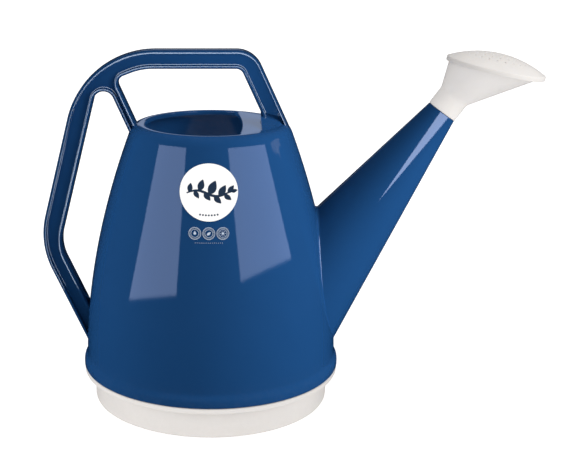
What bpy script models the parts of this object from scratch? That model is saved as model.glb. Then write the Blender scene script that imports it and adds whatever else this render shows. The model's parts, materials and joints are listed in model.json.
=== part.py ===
"""A ten-litre moulded watering can, modelled in metres with +Z up.

The origin is the middle of the base on the ground, the spout points to +X and
the can is the same on both sides of the plane Y = 0.  The tank is a tapered
blue shell with a white cup closing it from below.  An I-section handle frame
stands on the shell, a conical spout leaves its front, and a white two-piece
rose pushes over the spigot at the spout's tip, where it turns and pulls off.
"""

import math

import bmesh
import bpy
from mathutils import Matrix, Vector

# Gap kept between pieces that rest on or seat in each other.
FIT_GAP = 0.0003

# Tank shell: a wall that is nearly upright at the foot and leans in upwards.
FOOT_RADIUS = 0.1277
FOOT_HEIGHT = 0.0450
RIM_HEIGHT = 0.2850
RIM_INNER_RADIUS = 0.0653
RIM_LAND = 0.0048
RIM_OUTER_RADIUS = RIM_INNER_RADIUS + RIM_LAND
SHOULDER_REACH = 0.0075
WALL_LINE_AT_RIM = RIM_OUTER_RADIUS + SHOULDER_REACH
TAPER_POWER = 1.85
SHELL_WALL = 0.0025
SHOULDER_DROP = 0.0130
RIM_LIP_DEPTH = 0.0045
RIM_LIP_WALL = 0.0024

# Rounded bead that stands out round the shell's foot.
BEAD_REACH = 0.0033
SHELL_BOTTOM = 0.0353

# Deck that closes the front of the fill opening, under the handle's foot.
FRONT_FOOT_SETBACK = 0.0215
DECK_MARGIN = 0.0176
FRONT_FOOT_X = RIM_OUTER_RADIUS - FRONT_FOOT_SETBACK
DECK_EDGE_X = FRONT_FOOT_X - DECK_MARGIN
DECK_EDGE_BOW = 0.4320

# White base cup.
FLANGE_REACH = 0.0029
FLANGE_RADIUS = FOOT_RADIUS + FLANGE_REACH
FLANGE_THICKNESS = 0.0055
CUP_SETBACK = 0.0119
CUP_RADIUS = FLANGE_RADIUS - CUP_SETBACK
CUP_WALL = 0.0025
CUP_FLOOR = 0.0030
FOOT_RING_WIDTH = 0.0120
CENTRE_PAD_RADIUS = 0.0585
RECESS_DEPTH = 0.0012
SPIGOT_WALL = 0.0040
SPIGOT_HEIGHT = 0.0120
SPIGOT_PLAY = 0.0006
SNAP_REACH = 0.0012
SNAP_HEIGHT = 0.0028
SEAL_SECTION = 0.0010

# Handle frame, an I-section in the plane Y = 0.
HANDLE_DEPTH = 0.0220
HANDLE_WEB = 0.0060
HANDLE_BEAD = 0.0034
GRIP_GAP = 0.0541
GRIP_HEIGHT = 0.0185
FRONT_STRUT_LEAN = math.radians(25.0)
FRONT_STRUT_WIDTH = 0.0195
FRONT_STRUT_REACH = 0.0062
REAR_STRUT_LEAN = math.radians(24.0)
REAR_STRUT_WIDTH = 0.0100
REAR_STRUT_REACH = 0.0035
BACK_BAR_LEAN = math.radians(14.3)
BACK_BAR_WIDTH = 0.0210
BACK_REACH = 0.1044
ELBOW_HEIGHT = 0.1620
LOWER_BAR_WIDTH = 0.0185
LOWER_FOOT_RISE = 0.0150
NOOK_SLOPE = math.radians(21.0)
NOOK_DROP = 0.0098
REAR_CORNER_RADIUS = 0.0900
FRONT_CORNER_RADIUS = 0.0270
ELBOW_RADIUS = 0.0850
INNER_ELBOW_RADIUS = 0.0450
GAP_END_RADIUS = 0.0100
SMALL_CORNER_RADIUS = 0.0080
NOOK_RADIUS = 0.0600
HANDLE_EDGE_ROUND = 0.0020

# Spout: a cone whose axis climbs from the tank to the tip.
SPOUT_REACH = 0.1007
SPOUT_TIP_X = FOOT_RADIUS + SPOUT_REACH
SPOUT_TIP_ABOVE_RIM = 0.0108
SPOUT_TIP_HEIGHT = RIM_HEIGHT + SPOUT_TIP_ABOVE_RIM
SPOUT_RISE = math.radians(54.0)
SPOUT_HALF_ANGLE = math.radians(9.37)
SPOUT_TIP_RADIUS = 0.0152
SPOUT_WALL = 0.0025
NOZZLE_LENGTH = 0.0180
NOZZLE_STEP = 0.0026
NOZZLE_RADIUS = SPOUT_TIP_RADIUS - NOZZLE_STEP
NOZZLE_WALL = 0.0026
NOZZLE_BORE = NOZZLE_RADIUS - NOZZLE_WALL
NOZZLE_GROOVE_PLACE = 0.0120
RING_SECTION = 0.00065

# Rose: a funnel with a neck that slides over the nozzle, and a domed face.
NECK_PLAY = 0.0005
NECK_WALL = 0.0025
NECK_RADIUS = NOZZLE_RADIUS + NECK_PLAY + NECK_WALL
NECK_LENGTH = 0.0192
ROSE_RADIUS = 0.0487
ROSE_CENTRE_ALONG = 0.0655
ROSE_BACK_EDGE = 0.0334
ROSE_CENTRE_ASIDE = ROSE_RADIUS - ROSE_BACK_EDGE
ROSE_TILT = math.radians(24.8)
ROSE_SKIRT_WALL = 0.0018
ROSE_SKIRT_ABOVE = 0.0030
ROSE_SKIRT_BELOW = 0.0028
ROSE_DOME_HEIGHT = 0.0110
ROSE_DOME_WALL = 0.0020
FUNNEL_RIM_WALL = 0.0028
FUNNEL_RIM_TOP = 0.0015
FUNNEL_LIP = 0.0010
HOLE_RADIUS = 0.0009
HOLE_RING_STEP = 0.0078
HOLE_RINGS = 4

# Printed labels on the front of the tank.
LABEL_THICKNESS = 0.0003
LABEL_RADIUS = 0.0272
LABEL_HEIGHT = 0.2369
LABEL_SIDE = -0.0018
MARK_RADIUS = 0.0058
MARK_HEIGHT = 0.2004
MARK_SPACING = 0.0130

# Facets round each turned piece.
TANK_SEGMENTS = 48
SPOUT_SEGMENTS = 32
ROSE_SEGMENTS = 36

MERGE_DISTANCE = 0.00001


# ---------------------------------------------------------------- scene tools

def clear_scene():
    for obj in list(bpy.data.objects):
        bpy.data.objects.remove(obj, do_unlink=True)


def new_collection(name):
    collection = bpy.data.collections.new(name)
    bpy.context.scene.collection.children.link(collection)
    return collection


def new_material(name, colour, roughness):
    material = bpy.data.materials.new(name)
    material.use_nodes = True
    shader = material.node_tree.nodes["Principled BSDF"]
    shader.inputs["Base Color"].default_value = (*colour, 1.0)
    shader.inputs["Roughness"].default_value = roughness
    shader.inputs["Metallic"].default_value = 0.0
    material.diffuse_color = (*colour, 1.0)
    return material


def new_object(name, mesh, collection, material=None):
    obj = bpy.data.objects.new(name, mesh)
    collection.objects.link(obj)
    if material is not None:
        mesh.materials.append(material)
    return obj


def move_to(collection, obj):
    """Takes an object that an operator has added into one collection."""
    for holder in list(obj.users_collection):
        holder.objects.unlink(obj)
    collection.objects.link(obj)


def make_helper(obj):
    """Hides a cutter or a guide, so that it isn't a piece of the can."""
    obj.hide_render = True
    obj.display_type = "WIRE"
    return obj


def turned(name, profile, segments, collection, material=None, closed=True):
    """A profile of (radius, height) points spun about the object's own Z.

    The profile runs down its outer side.  A closed one makes a ring, and an
    open one starts and ends on the axis.
    """
    mesh = bpy.data.meshes.new(name)
    points = [(radius, 0.0, height) for radius, height in profile]
    edges = [(i, i + 1) for i in range(len(points) - 1)]
    if closed:
        edges.append((len(points) - 1, 0))
    mesh.from_pydata(points, edges, [])
    obj = new_object(name, mesh, collection, material)
    screw = obj.modifiers.new("turn", "SCREW")
    screw.axis = "Z"
    screw.steps = segments
    screw.render_steps = segments
    screw.use_merge_vertices = True
    screw.merge_threshold = MERGE_DISTANCE
    screw.use_smooth_shade = True
    return obj


def boolean(obj, cutter, operation="DIFFERENCE"):
    modifier = obj.modifiers.new(operation.lower(), "BOOLEAN")
    modifier.object = cutter
    modifier.operation = operation
    modifier.solver = "EXACT"
    return modifier


def aim_along(obj, origin, axis):
    """Puts the object's own Z along an axis that lies in the plane Y = 0."""
    side = Vector((0.0, 1.0, 0.0))
    matrix = Matrix((side.cross(axis), side, axis)).transposed().to_4x4()
    matrix.translation = origin
    obj.matrix_world = matrix


# ------------------------------------------------------------ shared geometry

def wall_radius(height, outset=0.0):
    """Outer radius of the shell's wall between the foot and the shoulder."""
    share = (height - FOOT_HEIGHT) / (RIM_HEIGHT - FOOT_HEIGHT)
    lean = (FOOT_RADIUS - WALL_LINE_AT_RIM) * max(share, 0.0) ** TAPER_POWER
    return FOOT_RADIUS - lean + outset


def curve_between(start, control, end, steps):
    """Points on a quadratic curve, without its first point."""
    found = []
    for step in range(1, steps + 1):
        t = step / steps
        a, b, c = (1 - t) ** 2, 2 * t * (1 - t), t ** 2
        found.append(tuple(a * s + b * m + c * e
                           for s, m, e in zip(start, control, end)))
    return found


def spread(low, high, count):
    """Evenly spaced values from low to high, both included."""
    return [low + (high - low) * i / (count - 1) for i in range(count)]


def outer_wall(outset=0.0):
    """The shell's outside from the rim's land down to the foot bead's edge."""
    shoulder_start = RIM_HEIGHT - SHOULDER_DROP
    top = (RIM_OUTER_RADIUS, RIM_HEIGHT + outset)
    turn = (WALL_LINE_AT_RIM + outset, RIM_HEIGHT + outset)
    bottom = (wall_radius(shoulder_start, outset), shoulder_start)
    points = [top] + curve_between(top, turn, bottom, 4)
    for height in spread(shoulder_start, FOOT_HEIGHT, 9)[1:]:
        points.append((wall_radius(height, outset), height))
    edge_height = SHELL_BOTTOM + 0.12 * (FOOT_HEIGHT - SHELL_BOTTOM)
    for angle in (math.radians(a) for a in (65.0, 35.0, 0.0)):
        points.append((
            FOOT_RADIUS + outset + BEAD_REACH * math.cos(angle),
            edge_height + (FOOT_HEIGHT - edge_height) * math.sin(angle),
        ))
    return points


def tank_bore_radius():
    """Inner radius of the shell's skirt, where the cup's spigot goes."""
    return FOOT_RADIUS - SHELL_WALL


def cup_top():
    return SHELL_BOTTOM - FIT_GAP


def snap_height():
    """Middle of the snap bead on the cup's spigot."""
    return cup_top() + 0.38 * SPIGOT_HEIGHT


def seal_height():
    """Middle of the sealing ring's groove in the cup's spigot."""
    return cup_top() + 0.75 * SPIGOT_HEIGHT


def spout_axis():
    return Vector((math.cos(SPOUT_RISE), 0.0, math.sin(SPOUT_RISE)))


def spout_tip():
    return Vector((SPOUT_TIP_X, 0.0, SPOUT_TIP_HEIGHT))


def rose_axis():
    """The way the rose's face looks: the spout's axis tipped upwards."""
    angle = SPOUT_RISE + ROSE_TILT
    return Vector((math.cos(angle), 0.0, math.sin(angle)))


def rose_centre():
    along = spout_axis()
    aside = Vector((along.z, 0.0, -along.x))
    return (spout_tip() + ROSE_CENTRE_ALONG * along
            + ROSE_CENTRE_ASIDE * aside)


def spout_radius(back, wall=0.0):
    """Radius of the spout's cone at a distance back from the tip."""
    return SPOUT_TIP_RADIUS - wall + back * math.tan(SPOUT_HALF_ANGLE)


def spout_length():
    """Cone length from the tip to well inside the tank's wall."""
    drop = SPOUT_TIP_HEIGHT - FOOT_HEIGHT
    return drop / math.sin(SPOUT_RISE + SPOUT_HALF_ANGLE) * 0.935


# --------------------------------------------------------------- tank pieces

def make_tank_envelope(helpers):
    """The shell's filled outside, grown by the fit gap, for cutting."""
    profile = [(0.0, RIM_HEIGHT + FIT_GAP)] + outer_wall(FIT_GAP)
    profile.append((FOOT_RADIUS + BEAD_REACH, SHELL_BOTTOM))
    profile.append((0.0, SHELL_BOTTOM))
    return make_helper(turned("tank_envelope", profile, TANK_SEGMENTS,
                              helpers, closed=False))


def make_spout_bore(helpers):
    """The cone of space inside the spout, which also opens the tank wall."""
    length = spout_length()
    start = 0.030
    profile = [
        (0.0, -start),
        (spout_radius(start, SPOUT_WALL), -start),
        (spout_radius(length, SPOUT_WALL), -length),
        (0.0, -length),
    ]
    bore = turned("spout_bore", profile, SPOUT_SEGMENTS, helpers,
                  closed=False)
    aim_along(bore, spout_tip(), spout_axis())
    return make_helper(bore)


def make_fill_opening(helpers):
    """The space of the fill opening: a disc cut off where the deck begins."""
    top, low = RIM_HEIGHT + 0.010, RIM_HEIGHT - 0.010
    disc = turned("fill_opening", [
        (0.0, top), (RIM_INNER_RADIUS, top), (RIM_INNER_RADIUS, low),
        (0.0, low),
    ], TANK_SEGMENTS, helpers, closed=False)
    bpy.ops.mesh.primitive_cylinder_add(
        vertices=96, radius=DECK_EDGE_BOW, depth=0.040,
        location=(DECK_EDGE_X - DECK_EDGE_BOW, 0.0, RIM_HEIGHT))
    limit = bpy.context.object
    limit.name = "deck_limit"
    move_to(helpers, limit)
    boolean(disc, make_helper(limit), "INTERSECT")
    return make_helper(disc)


def make_body_shell(parts, helpers, blue, bore):
    outside = [(0.0, RIM_HEIGHT)] + outer_wall()
    outside.append((FOOT_RADIUS + BEAD_REACH, SHELL_BOTTOM))
    bore_radius = tank_bore_radius()
    groove = snap_height()
    half = SNAP_HEIGHT / 2 + 0.0007
    deep = bore_radius + SNAP_REACH
    inside = [
        (bore_radius, SHELL_BOTTOM),
        (bore_radius, groove - half),
        (deep, groove - half + 0.0008),
        (deep, groove + half - 0.0008),
        (bore_radius, groove + half),
    ]
    shoulder_start = RIM_HEIGHT - SHOULDER_DROP
    for height in spread(FOOT_HEIGHT, shoulder_start, 6):
        inside.append((wall_radius(height, -SHELL_WALL), height))
    under = RIM_HEIGHT - SHELL_WALL
    start = (wall_radius(shoulder_start, -SHELL_WALL), shoulder_start)
    turn = (WALL_LINE_AT_RIM - SHELL_WALL / 2, under)
    end = (RIM_OUTER_RADIUS, under)
    inside += curve_between(start, turn, end, 3)
    lip = RIM_HEIGHT - RIM_LIP_DEPTH
    inside += [
        (RIM_INNER_RADIUS + RIM_LIP_WALL, under),
        (RIM_INNER_RADIUS + RIM_LIP_WALL, lip),
        (RIM_INNER_RADIUS + FIT_GAP, lip),
        (RIM_INNER_RADIUS + FIT_GAP, under),
        (0.0, under),
    ]
    shell = turned("body_shell", outside + inside, TANK_SEGMENTS, parts, blue,
                   closed=False)
    boolean(shell, bore)
    boolean(shell, make_fill_opening(helpers))
    return shell


def make_base_cup(parts, white):
    inner = CUP_RADIUS - CUP_WALL
    spigot_outer = tank_bore_radius() - SPIGOT_PLAY
    spigot_inner = spigot_outer - SPIGOT_WALL
    top = cup_top()
    under_flange = top - FLANGE_THICKNESS
    end = top + SPIGOT_HEIGHT
    ring_inner = CUP_RADIUS - FOOT_RING_WIDTH
    slope = 2 * RECESS_DEPTH
    raised = CUP_FLOOR + RECESS_DEPTH
    groove_half = SEAL_SECTION + FIT_GAP
    groove_floor = spigot_outer - 2 * SEAL_SECTION
    snap_half = SNAP_HEIGHT / 2
    snap_out = spigot_outer + SNAP_REACH
    profile = [
        (0.0, CUP_FLOOR),
        (CENTRE_PAD_RADIUS, CUP_FLOOR),
        (CENTRE_PAD_RADIUS + slope, raised),
        (ring_inner - slope, raised),
        (ring_inner, CUP_FLOOR),
        (inner - 0.0025, CUP_FLOOR),
        (inner, CUP_FLOOR + 0.0025),
        (inner, under_flange + 0.0020),
        (spigot_inner, top),
        (spigot_inner, end),
        (spigot_outer - 0.0005, end),
        (spigot_outer, end - 0.0008),
        (spigot_outer, seal_height() + groove_half),
        (groove_floor, seal_height() + groove_half),
        (groove_floor, seal_height() - groove_half),
        (spigot_outer, seal_height() - groove_half),
        (spigot_outer, snap_height() + snap_half),
        (snap_out - 0.0006, snap_height() + 0.0004),
        (snap_out - 0.0006, snap_height() - 0.0004),
        (spigot_outer, snap_height() - snap_half),
        (spigot_outer, top),
        (FLANGE_RADIUS - 0.0006, top),
        (FLANGE_RADIUS, top - 0.0008),
        (FLANGE_RADIUS, under_flange + 0.0012),
        (FLANGE_RADIUS - 0.0010, under_flange),
        (CUP_RADIUS, under_flange),
        (CUP_RADIUS, 0.0025),
        (CUP_RADIUS - 0.0007, 0.0008),
        (CUP_RADIUS - 0.0024, 0.0),
        (ring_inner, 0.0),
        (ring_inner - slope, RECESS_DEPTH),
        (CENTRE_PAD_RADIUS + slope, RECESS_DEPTH),
        (CENTRE_PAD_RADIUS, 0.0),
        (0.0, 0.0),
    ]
    return turned("base_cup", profile, TANK_SEGMENTS, parts, white,
                  closed=False)


def make_ring(name, radius, section, segments, collection, material):
    bpy.ops.mesh.primitive_torus_add(
        major_radius=radius, minor_radius=section,
        major_segments=segments, minor_segments=6)
    ring = bpy.context.object
    ring.name = name
    ring.data.name = name
    ring.data.materials.append(material)
    ring.data.shade_smooth()
    move_to(collection, ring)
    return ring


def make_base_seal(parts, rubber):
    radius = tank_bore_radius() - FIT_GAP - SEAL_SECTION
    seal = make_ring("base_seal", radius, SEAL_SECTION, TANK_SEGMENTS, parts,
                     rubber)
    seal.location.z = seal_height()
    return seal


# -------------------------------------------------------------- handle frame

class Line:
    """A straight line in the plane Y = 0, by a point and a heading."""

    def __init__(self, x, z, heading):
        self.point = Vector((x, z))
        self.way = Vector((math.cos(heading), math.sin(heading)))

    def beside(self, distance):
        """The parallel line that far to the left of the heading."""
        moved = self.point + distance * Vector((-self.way.y, self.way.x))
        line = Line(moved.x, moved.y, 0.0)
        line.way = self.way
        return line

    def at_height(self, z):
        reach = (z - self.point.y) / self.way.y
        return self.point + reach * self.way

    def meets(self, other):
        gap = other.point - self.point
        turn = self.way.cross(other.way)
        return self.point + self.way * (gap.cross(other.way) / turn)


def handle_corners():
    """The frame's outline as (x, z, corner radius), anticlockwise.

    Each bar has an outer line and an inner one at its own width.  The three
    feet run on into the tank, where the envelope trims them.
    """
    up = math.pi / 2
    top = RIM_HEIGHT + GRIP_GAP + GRIP_HEIGHT
    front_x = RIM_OUTER_RADIUS + FRONT_STRUT_REACH
    rear_x = RIM_OUTER_RADIUS + REAR_STRUT_REACH
    back_x = -(RIM_OUTER_RADIUS + BACK_REACH)
    low_z = FOOT_HEIGHT + LOWER_FOOT_RISE
    low_heading = math.atan2(low_z - ELBOW_HEIGHT, -FOOT_RADIUS - back_x)

    front_outer = Line(front_x, RIM_HEIGHT, up + FRONT_STRUT_LEAN)
    front_inner = front_outer.beside(FRONT_STRUT_WIDTH)
    top_outer = Line(0.0, top, math.pi)
    top_inner = top_outer.beside(GRIP_HEIGHT)
    back_outer = Line(back_x, ELBOW_HEIGHT, -up - BACK_BAR_LEAN)
    back_inner = back_outer.beside(BACK_BAR_WIDTH)
    low_outer = Line(back_x, ELBOW_HEIGHT, low_heading)
    low_inner = low_outer.beside(LOWER_BAR_WIDTH)
    rear_right = Line(-rear_x, RIM_HEIGHT, up + REAR_STRUT_LEAN)
    rear_left = rear_right.beside(REAR_STRUT_WIDTH)
    nook_at = rear_right.at_height(top - GRIP_HEIGHT - NOOK_DROP)
    nook = Line(nook_at.x, nook_at.y, NOOK_SLOPE)

    def corner(point, radius=0.0):
        return (point.x, point.y, radius)

    inside = RIM_HEIGHT - 0.020
    return [
        corner(front_outer.at_height(RIM_HEIGHT - 0.007)),
        corner(front_outer.meets(top_outer), FRONT_CORNER_RADIUS),
        corner(top_outer.meets(back_outer), REAR_CORNER_RADIUS),
        corner(back_outer.meets(low_outer), ELBOW_RADIUS),
        corner(low_outer.at_height(low_z - 0.009)),
        corner(low_inner.at_height(low_z + 0.022)),
        corner(low_inner.meets(back_inner), INNER_ELBOW_RADIUS),
        corner(back_inner.meets(rear_left), GAP_END_RADIUS),
        corner(rear_left.at_height(inside)),
        corner(rear_right.at_height(inside)),
        corner(rear_right.meets(nook), SMALL_CORNER_RADIUS),
        corner(nook.meets(top_inner), NOOK_RADIUS),
        corner(top_inner.meets(front_inner), SMALL_CORNER_RADIUS),
        corner(front_inner.at_height(RIM_HEIGHT + 0.0080), 0.005),
        (FRONT_FOOT_X, RIM_HEIGHT - 0.0020, 0.0),
        (FRONT_FOOT_X, inside, 0.0),
        (front_x - 0.006, inside, 0.0),
    ]


def inset_corners(corners, distance):
    """The same outline moved inwards, with its corner radii to match."""
    moved = []
    for i, (x, z, radius) in enumerate(corners):
        here = Vector((x, z))
        before = Vector(corners[i - 1][:2])
        after = Vector(corners[(i + 1) % len(corners)][:2])
        came = (here - before).normalized()
        goes = (after - here).normalized()
        first = Line(here.x, here.y, math.atan2(came.y, came.x))
        second = Line(here.x, here.y, math.atan2(goes.y, goes.x))
        turn = came.cross(goes)
        place = first.beside(distance).meets(second.beside(distance))
        if radius:
            radius = max(radius - math.copysign(distance, turn), 0.0005)
        moved.append((place.x, place.y, radius))
    return moved


def rounded_outline(corners, arc_step=math.radians(11.0)):
    """Points round an outline whose corners are replaced with arcs."""
    points = []
    for i, (x, z, radius) in enumerate(corners):
        here = Vector((x, z))
        if not radius:
            points.append(here)
            continue
        before = (Vector(corners[i - 1][:2]) - here).normalized()
        after = (Vector(corners[(i + 1) % len(corners)][:2])
                 - here).normalized()
        half = before.angle(after) / 2
        centre = here + (before + after).normalized() * (
            radius / math.sin(half))
        first = here + before * (radius / math.tan(half)) - centre
        sweep = math.pi - 2 * half
        if before.cross(after) > 0:
            sweep = -sweep
        steps = max(2, math.ceil(abs(sweep) / arc_step))
        start = math.atan2(first.y, first.x)
        for step in range(steps + 1):
            angle = start + sweep * step / steps
            points.append(centre + radius * Vector((math.cos(angle),
                                                    math.sin(angle))))
    return points


def plate(name, outline, thickness, collection, offset=0.0):
    """A flat outline in the plane Y = offset, made a solid plate."""
    curve = bpy.data.curves.new(name, "CURVE")
    curve.dimensions = "2D"
    curve.fill_mode = "BOTH"
    curve.extrude = thickness / 2
    spline = curve.splines.new("POLY")
    spline.points.add(len(outline) - 1)
    for point, place in zip(spline.points, outline):
        point.co = (place.x, place.y, 0.0, 1.0)
    spline.use_cyclic_u = True
    drawn = bpy.data.objects.new(name + "_curve", curve)
    collection.objects.link(drawn)
    drawn.rotation_euler = (math.pi / 2, 0.0, 0.0)
    drawn.location = (0.0, offset, 0.0)
    bpy.context.view_layer.update()
    graph = bpy.context.evaluated_depsgraph_get()
    mesh = bpy.data.meshes.new_from_object(drawn.evaluated_get(graph))
    weld = bmesh.new()
    weld.from_mesh(mesh)
    bmesh.ops.remove_doubles(weld, verts=weld.verts, dist=MERGE_DISTANCE)
    bmesh.ops.dissolve_limit(weld, angle_limit=math.radians(0.5),
                             verts=weld.verts, edges=weld.edges)
    bmesh.ops.recalc_face_normals(weld, faces=weld.faces)
    weld.to_mesh(mesh)
    weld.free()
    mesh.name = name
    solid = bpy.data.objects.new(name, mesh)
    collection.objects.link(solid)
    solid.matrix_world = drawn.matrix_world
    bpy.data.objects.remove(drawn)
    return solid


def make_handle_frame(parts, helpers, blue, envelope):
    corners = handle_corners()
    handle = plate("handle_frame", rounded_outline(corners), HANDLE_DEPTH,
                   parts)
    handle.data.materials.append(blue)
    bevel = handle.modifiers.new("edge_round", "BEVEL")
    bevel.width = HANDLE_EDGE_ROUND
    bevel.segments = 1
    bevel.limit_method = "ANGLE"
    bevel.angle_limit = math.radians(60.0)
    web = rounded_outline(inset_corners(corners, HANDLE_BEAD))
    pocket_depth = HANDLE_DEPTH / 2
    for side in (-1.0, 1.0):
        middle = side * (HANDLE_WEB / 2 + pocket_depth / 2)
        pocket = plate("handle_pocket", web, pocket_depth, helpers, middle)
        boolean(handle, make_helper(pocket))
    boolean(handle, envelope)
    return handle


# -------------------------------------------------------- spout and the rose

def make_spout_tube(parts, blue, envelope):
    length = spout_length()
    tip = SPOUT_TIP_RADIUS
    groove_low = NOZZLE_GROOVE_PLACE - RING_SECTION - FIT_GAP
    groove_high = NOZZLE_GROOVE_PLACE + RING_SECTION + FIT_GAP
    groove_floor = ring_radius() - RING_SECTION - FIT_GAP
    throat = 0.0080
    profile = [
        (NOZZLE_RADIUS - 0.0004, NOZZLE_LENGTH),
        (NOZZLE_RADIUS, NOZZLE_LENGTH - 0.0010),
        (NOZZLE_RADIUS, groove_high),
        (groove_floor, groove_high),
        (groove_floor, groove_low),
        (NOZZLE_RADIUS, groove_low),
        (NOZZLE_RADIUS, 0.0),
        (tip - 0.0003, 0.0),
        (tip, -0.0004),
        (spout_radius(length), -length),
        (spout_radius(length, SPOUT_WALL), -length),
        (spout_radius(throat, SPOUT_WALL), -throat),
        (NOZZLE_BORE, 0.0010),
        (NOZZLE_BORE, NOZZLE_LENGTH),
    ]
    spout = turned("spout_tube", profile, SPOUT_SEGMENTS, parts, blue)
    aim_along(spout, spout_tip(), spout_axis())
    boolean(spout, envelope)
    return spout


def neck_bore():
    return NOZZLE_RADIUS + NECK_PLAY


def ring_radius():
    """Radius of the sealing ring's own centre line round the nozzle."""
    return neck_bore() - FIT_GAP - RING_SECTION


def make_rose_ring(parts, rubber):
    ring = make_ring("rose_seal_ring", ring_radius(), RING_SECTION,
                     SPOUT_SEGMENTS, parts, rubber)
    aim_along(ring, spout_tip() + NOZZLE_GROOVE_PLACE * spout_axis(),
              spout_axis())
    return ring


def circle_points(centre, axis, radius, segments):
    """Points round a circle whose axis lies in the plane Y = 0."""
    across = Vector((axis.z, 0.0, -axis.x))
    side = Vector((0.0, 1.0, 0.0))
    return [centre + radius * (math.cos(turn) * across
                               + math.sin(turn) * side)
            for turn in (2 * math.pi * i / segments for i in range(segments))]


def make_rose_funnel(parts, white):
    """A loft from the round neck to the wider rim, which faces elsewhere."""
    along, facing = spout_axis(), rose_axis()
    tip, centre = spout_tip(), rose_centre()
    rim = ROSE_RADIUS - ROSE_SKIRT_WALL - FIT_GAP - FUNNEL_LIP
    bore = neck_bore()

    def neck(radius, place):
        return circle_points(tip + place * along, along, radius,
                             ROSE_SEGMENTS)

    def mouth(radius, place):
        return circle_points(centre + place * facing, facing, radius,
                             ROSE_SEGMENTS)

    rings = [
        neck(NECK_RADIUS - 0.0004, FIT_GAP),
        neck(NECK_RADIUS, FIT_GAP + 0.0005),
        neck(NECK_RADIUS, NECK_LENGTH),
        mouth(rim, -0.0004),
        mouth(rim + FUNNEL_LIP, 0.0),
        mouth(rim + FUNNEL_LIP, FUNNEL_RIM_TOP),
        mouth(rim - FUNNEL_RIM_WALL, FUNNEL_RIM_TOP),
        mouth(rim - FUNNEL_RIM_WALL, 0.0),
        neck(bore, NECK_LENGTH),
        neck(bore, FIT_GAP),
    ]
    shape = bmesh.new()
    rows = [[shape.verts.new(point) for point in ring] for ring in rings]
    for row, following in zip(rows, rows[1:] + rows[:1]):
        for i in range(ROSE_SEGMENTS):
            j = (i + 1) % ROSE_SEGMENTS
            shape.faces.new((row[i], row[j], following[j], following[i]))
    bmesh.ops.recalc_face_normals(shape, faces=shape.faces)
    mesh = bpy.data.meshes.new("rose_funnel")
    shape.to_mesh(mesh)
    shape.free()
    mesh.shade_smooth()
    mesh.set_sharp_from_angle(angle=math.radians(40.0))
    return new_object("rose_funnel", mesh, parts, white)


def dome_points(edge_radius, edge_height, rise, steps):
    """A round dome from its top on the axis out to its edge."""
    ball = (edge_radius ** 2 + rise ** 2) / (2 * rise)
    reach = math.asin(edge_radius / ball)
    middle = edge_height + rise - ball
    return [(ball * math.sin(reach * i / steps),
             middle + ball * math.cos(reach * i / steps))
            for i in range(steps + 1)]


def make_face_holes(helpers):
    """Six-sided pins through the dome, square to it, in rings."""
    edge = ROSE_RADIUS - 0.0027
    ball = (edge ** 2 + ROSE_DOME_HEIGHT ** 2) / (2 * ROSE_DOME_HEIGHT)
    middle = ROSE_SKIRT_ABOVE + ROSE_DOME_HEIGHT - ball
    shape = bmesh.new()
    for ring in range(HOLE_RINGS + 1):
        count = max(1, 6 * ring)
        lean = ring * HOLE_RING_STEP / ball
        for i in range(count):
            turn = Matrix.Rotation(2 * math.pi * i / count, 4, "Z")
            tip_out = Matrix.Rotation(lean, 4, "Y")
            lift = Matrix.Translation((0.0, 0.0, ball))
            drop = Matrix.Translation((0.0, 0.0, middle))
            bmesh.ops.create_cone(
                shape, cap_ends=True, segments=6, radius1=HOLE_RADIUS,
                radius2=HOLE_RADIUS, depth=4 * ROSE_DOME_WALL,
                matrix=drop @ turn @ tip_out @ lift)
    mesh = bpy.data.meshes.new("face_holes")
    shape.to_mesh(mesh)
    shape.free()
    holes = new_object("face_holes", mesh, helpers)
    aim_along(holes, rose_centre(), rose_axis())
    return make_helper(holes)


def make_rose_face(parts, helpers, white):
    outer = ROSE_RADIUS
    above, below = ROSE_SKIRT_ABOVE, ROSE_SKIRT_BELOW
    inner = outer - ROSE_SKIRT_WALL
    rim_outer = inner - FIT_GAP - FUNNEL_LIP
    ledge = FUNNEL_RIM_TOP + FIT_GAP
    profile = dome_points(outer - 0.0027, above, ROSE_DOME_HEIGHT, 6)
    profile += [
        (outer - 0.0007, above - 0.0010),
        (outer, above - 0.0025),
        (outer, 0.0010 - below),
        (outer - 0.0007, -below),
        (inner, -below),
        (rim_outer + FIT_GAP, 0.0008 - below),
        (rim_outer + FIT_GAP, -0.0012),
        (inner, -0.0006),
        (inner, ledge),
    ]
    hollow = dome_points(inner - 0.0030, ledge + 0.0004,
                         ROSE_DOME_HEIGHT - 0.0009, 5)
    profile += reversed(hollow)
    face = turned("rose_face_plate", profile, ROSE_SEGMENTS, parts, white,
                  closed=False)
    aim_along(face, rose_centre(), rose_axis())
    boolean(face, make_face_holes(helpers))
    return face


# --------------------------------------------------------------------- labels

def make_label(name, radius, x, height, parts, helpers, material, sides):
    """A round patch of film that follows the tank's curved front."""
    near = FIT_GAP
    far = near + LABEL_THICKNESS
    reach = radius * 1.3
    heights = spread(height + reach, height - reach, 6)
    outside = [(wall_radius(z, far), z) for z in heights]
    inside = [(wall_radius(z, near), z) for z in reversed(heights)]
    patch = turned(name, outside + inside, TANK_SEGMENTS, parts, material)
    bpy.ops.mesh.primitive_cylinder_add(
        vertices=sides, radius=radius, depth=FOOT_RADIUS,
        rotation=(math.pi / 2, 0.0, 0.0),
        location=(x, -wall_radius(height), height))
    punch = bpy.context.object
    punch.name = name + "_punch"
    move_to(helpers, punch)
    boolean(patch, make_helper(punch), "INTERSECT")
    return patch


def make_labels(parts, helpers, film):
    make_label("round_label", LABEL_RADIUS, LABEL_SIDE, LABEL_HEIGHT, parts,
               helpers, film, 32)
    for name, place in (("left", -1), ("middle", 0), ("right", 1)):
        make_label("care_mark_" + name, MARK_RADIUS,
                   LABEL_SIDE + place * MARK_SPACING, MARK_HEIGHT, parts,
                   helpers, film, 12)


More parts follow.
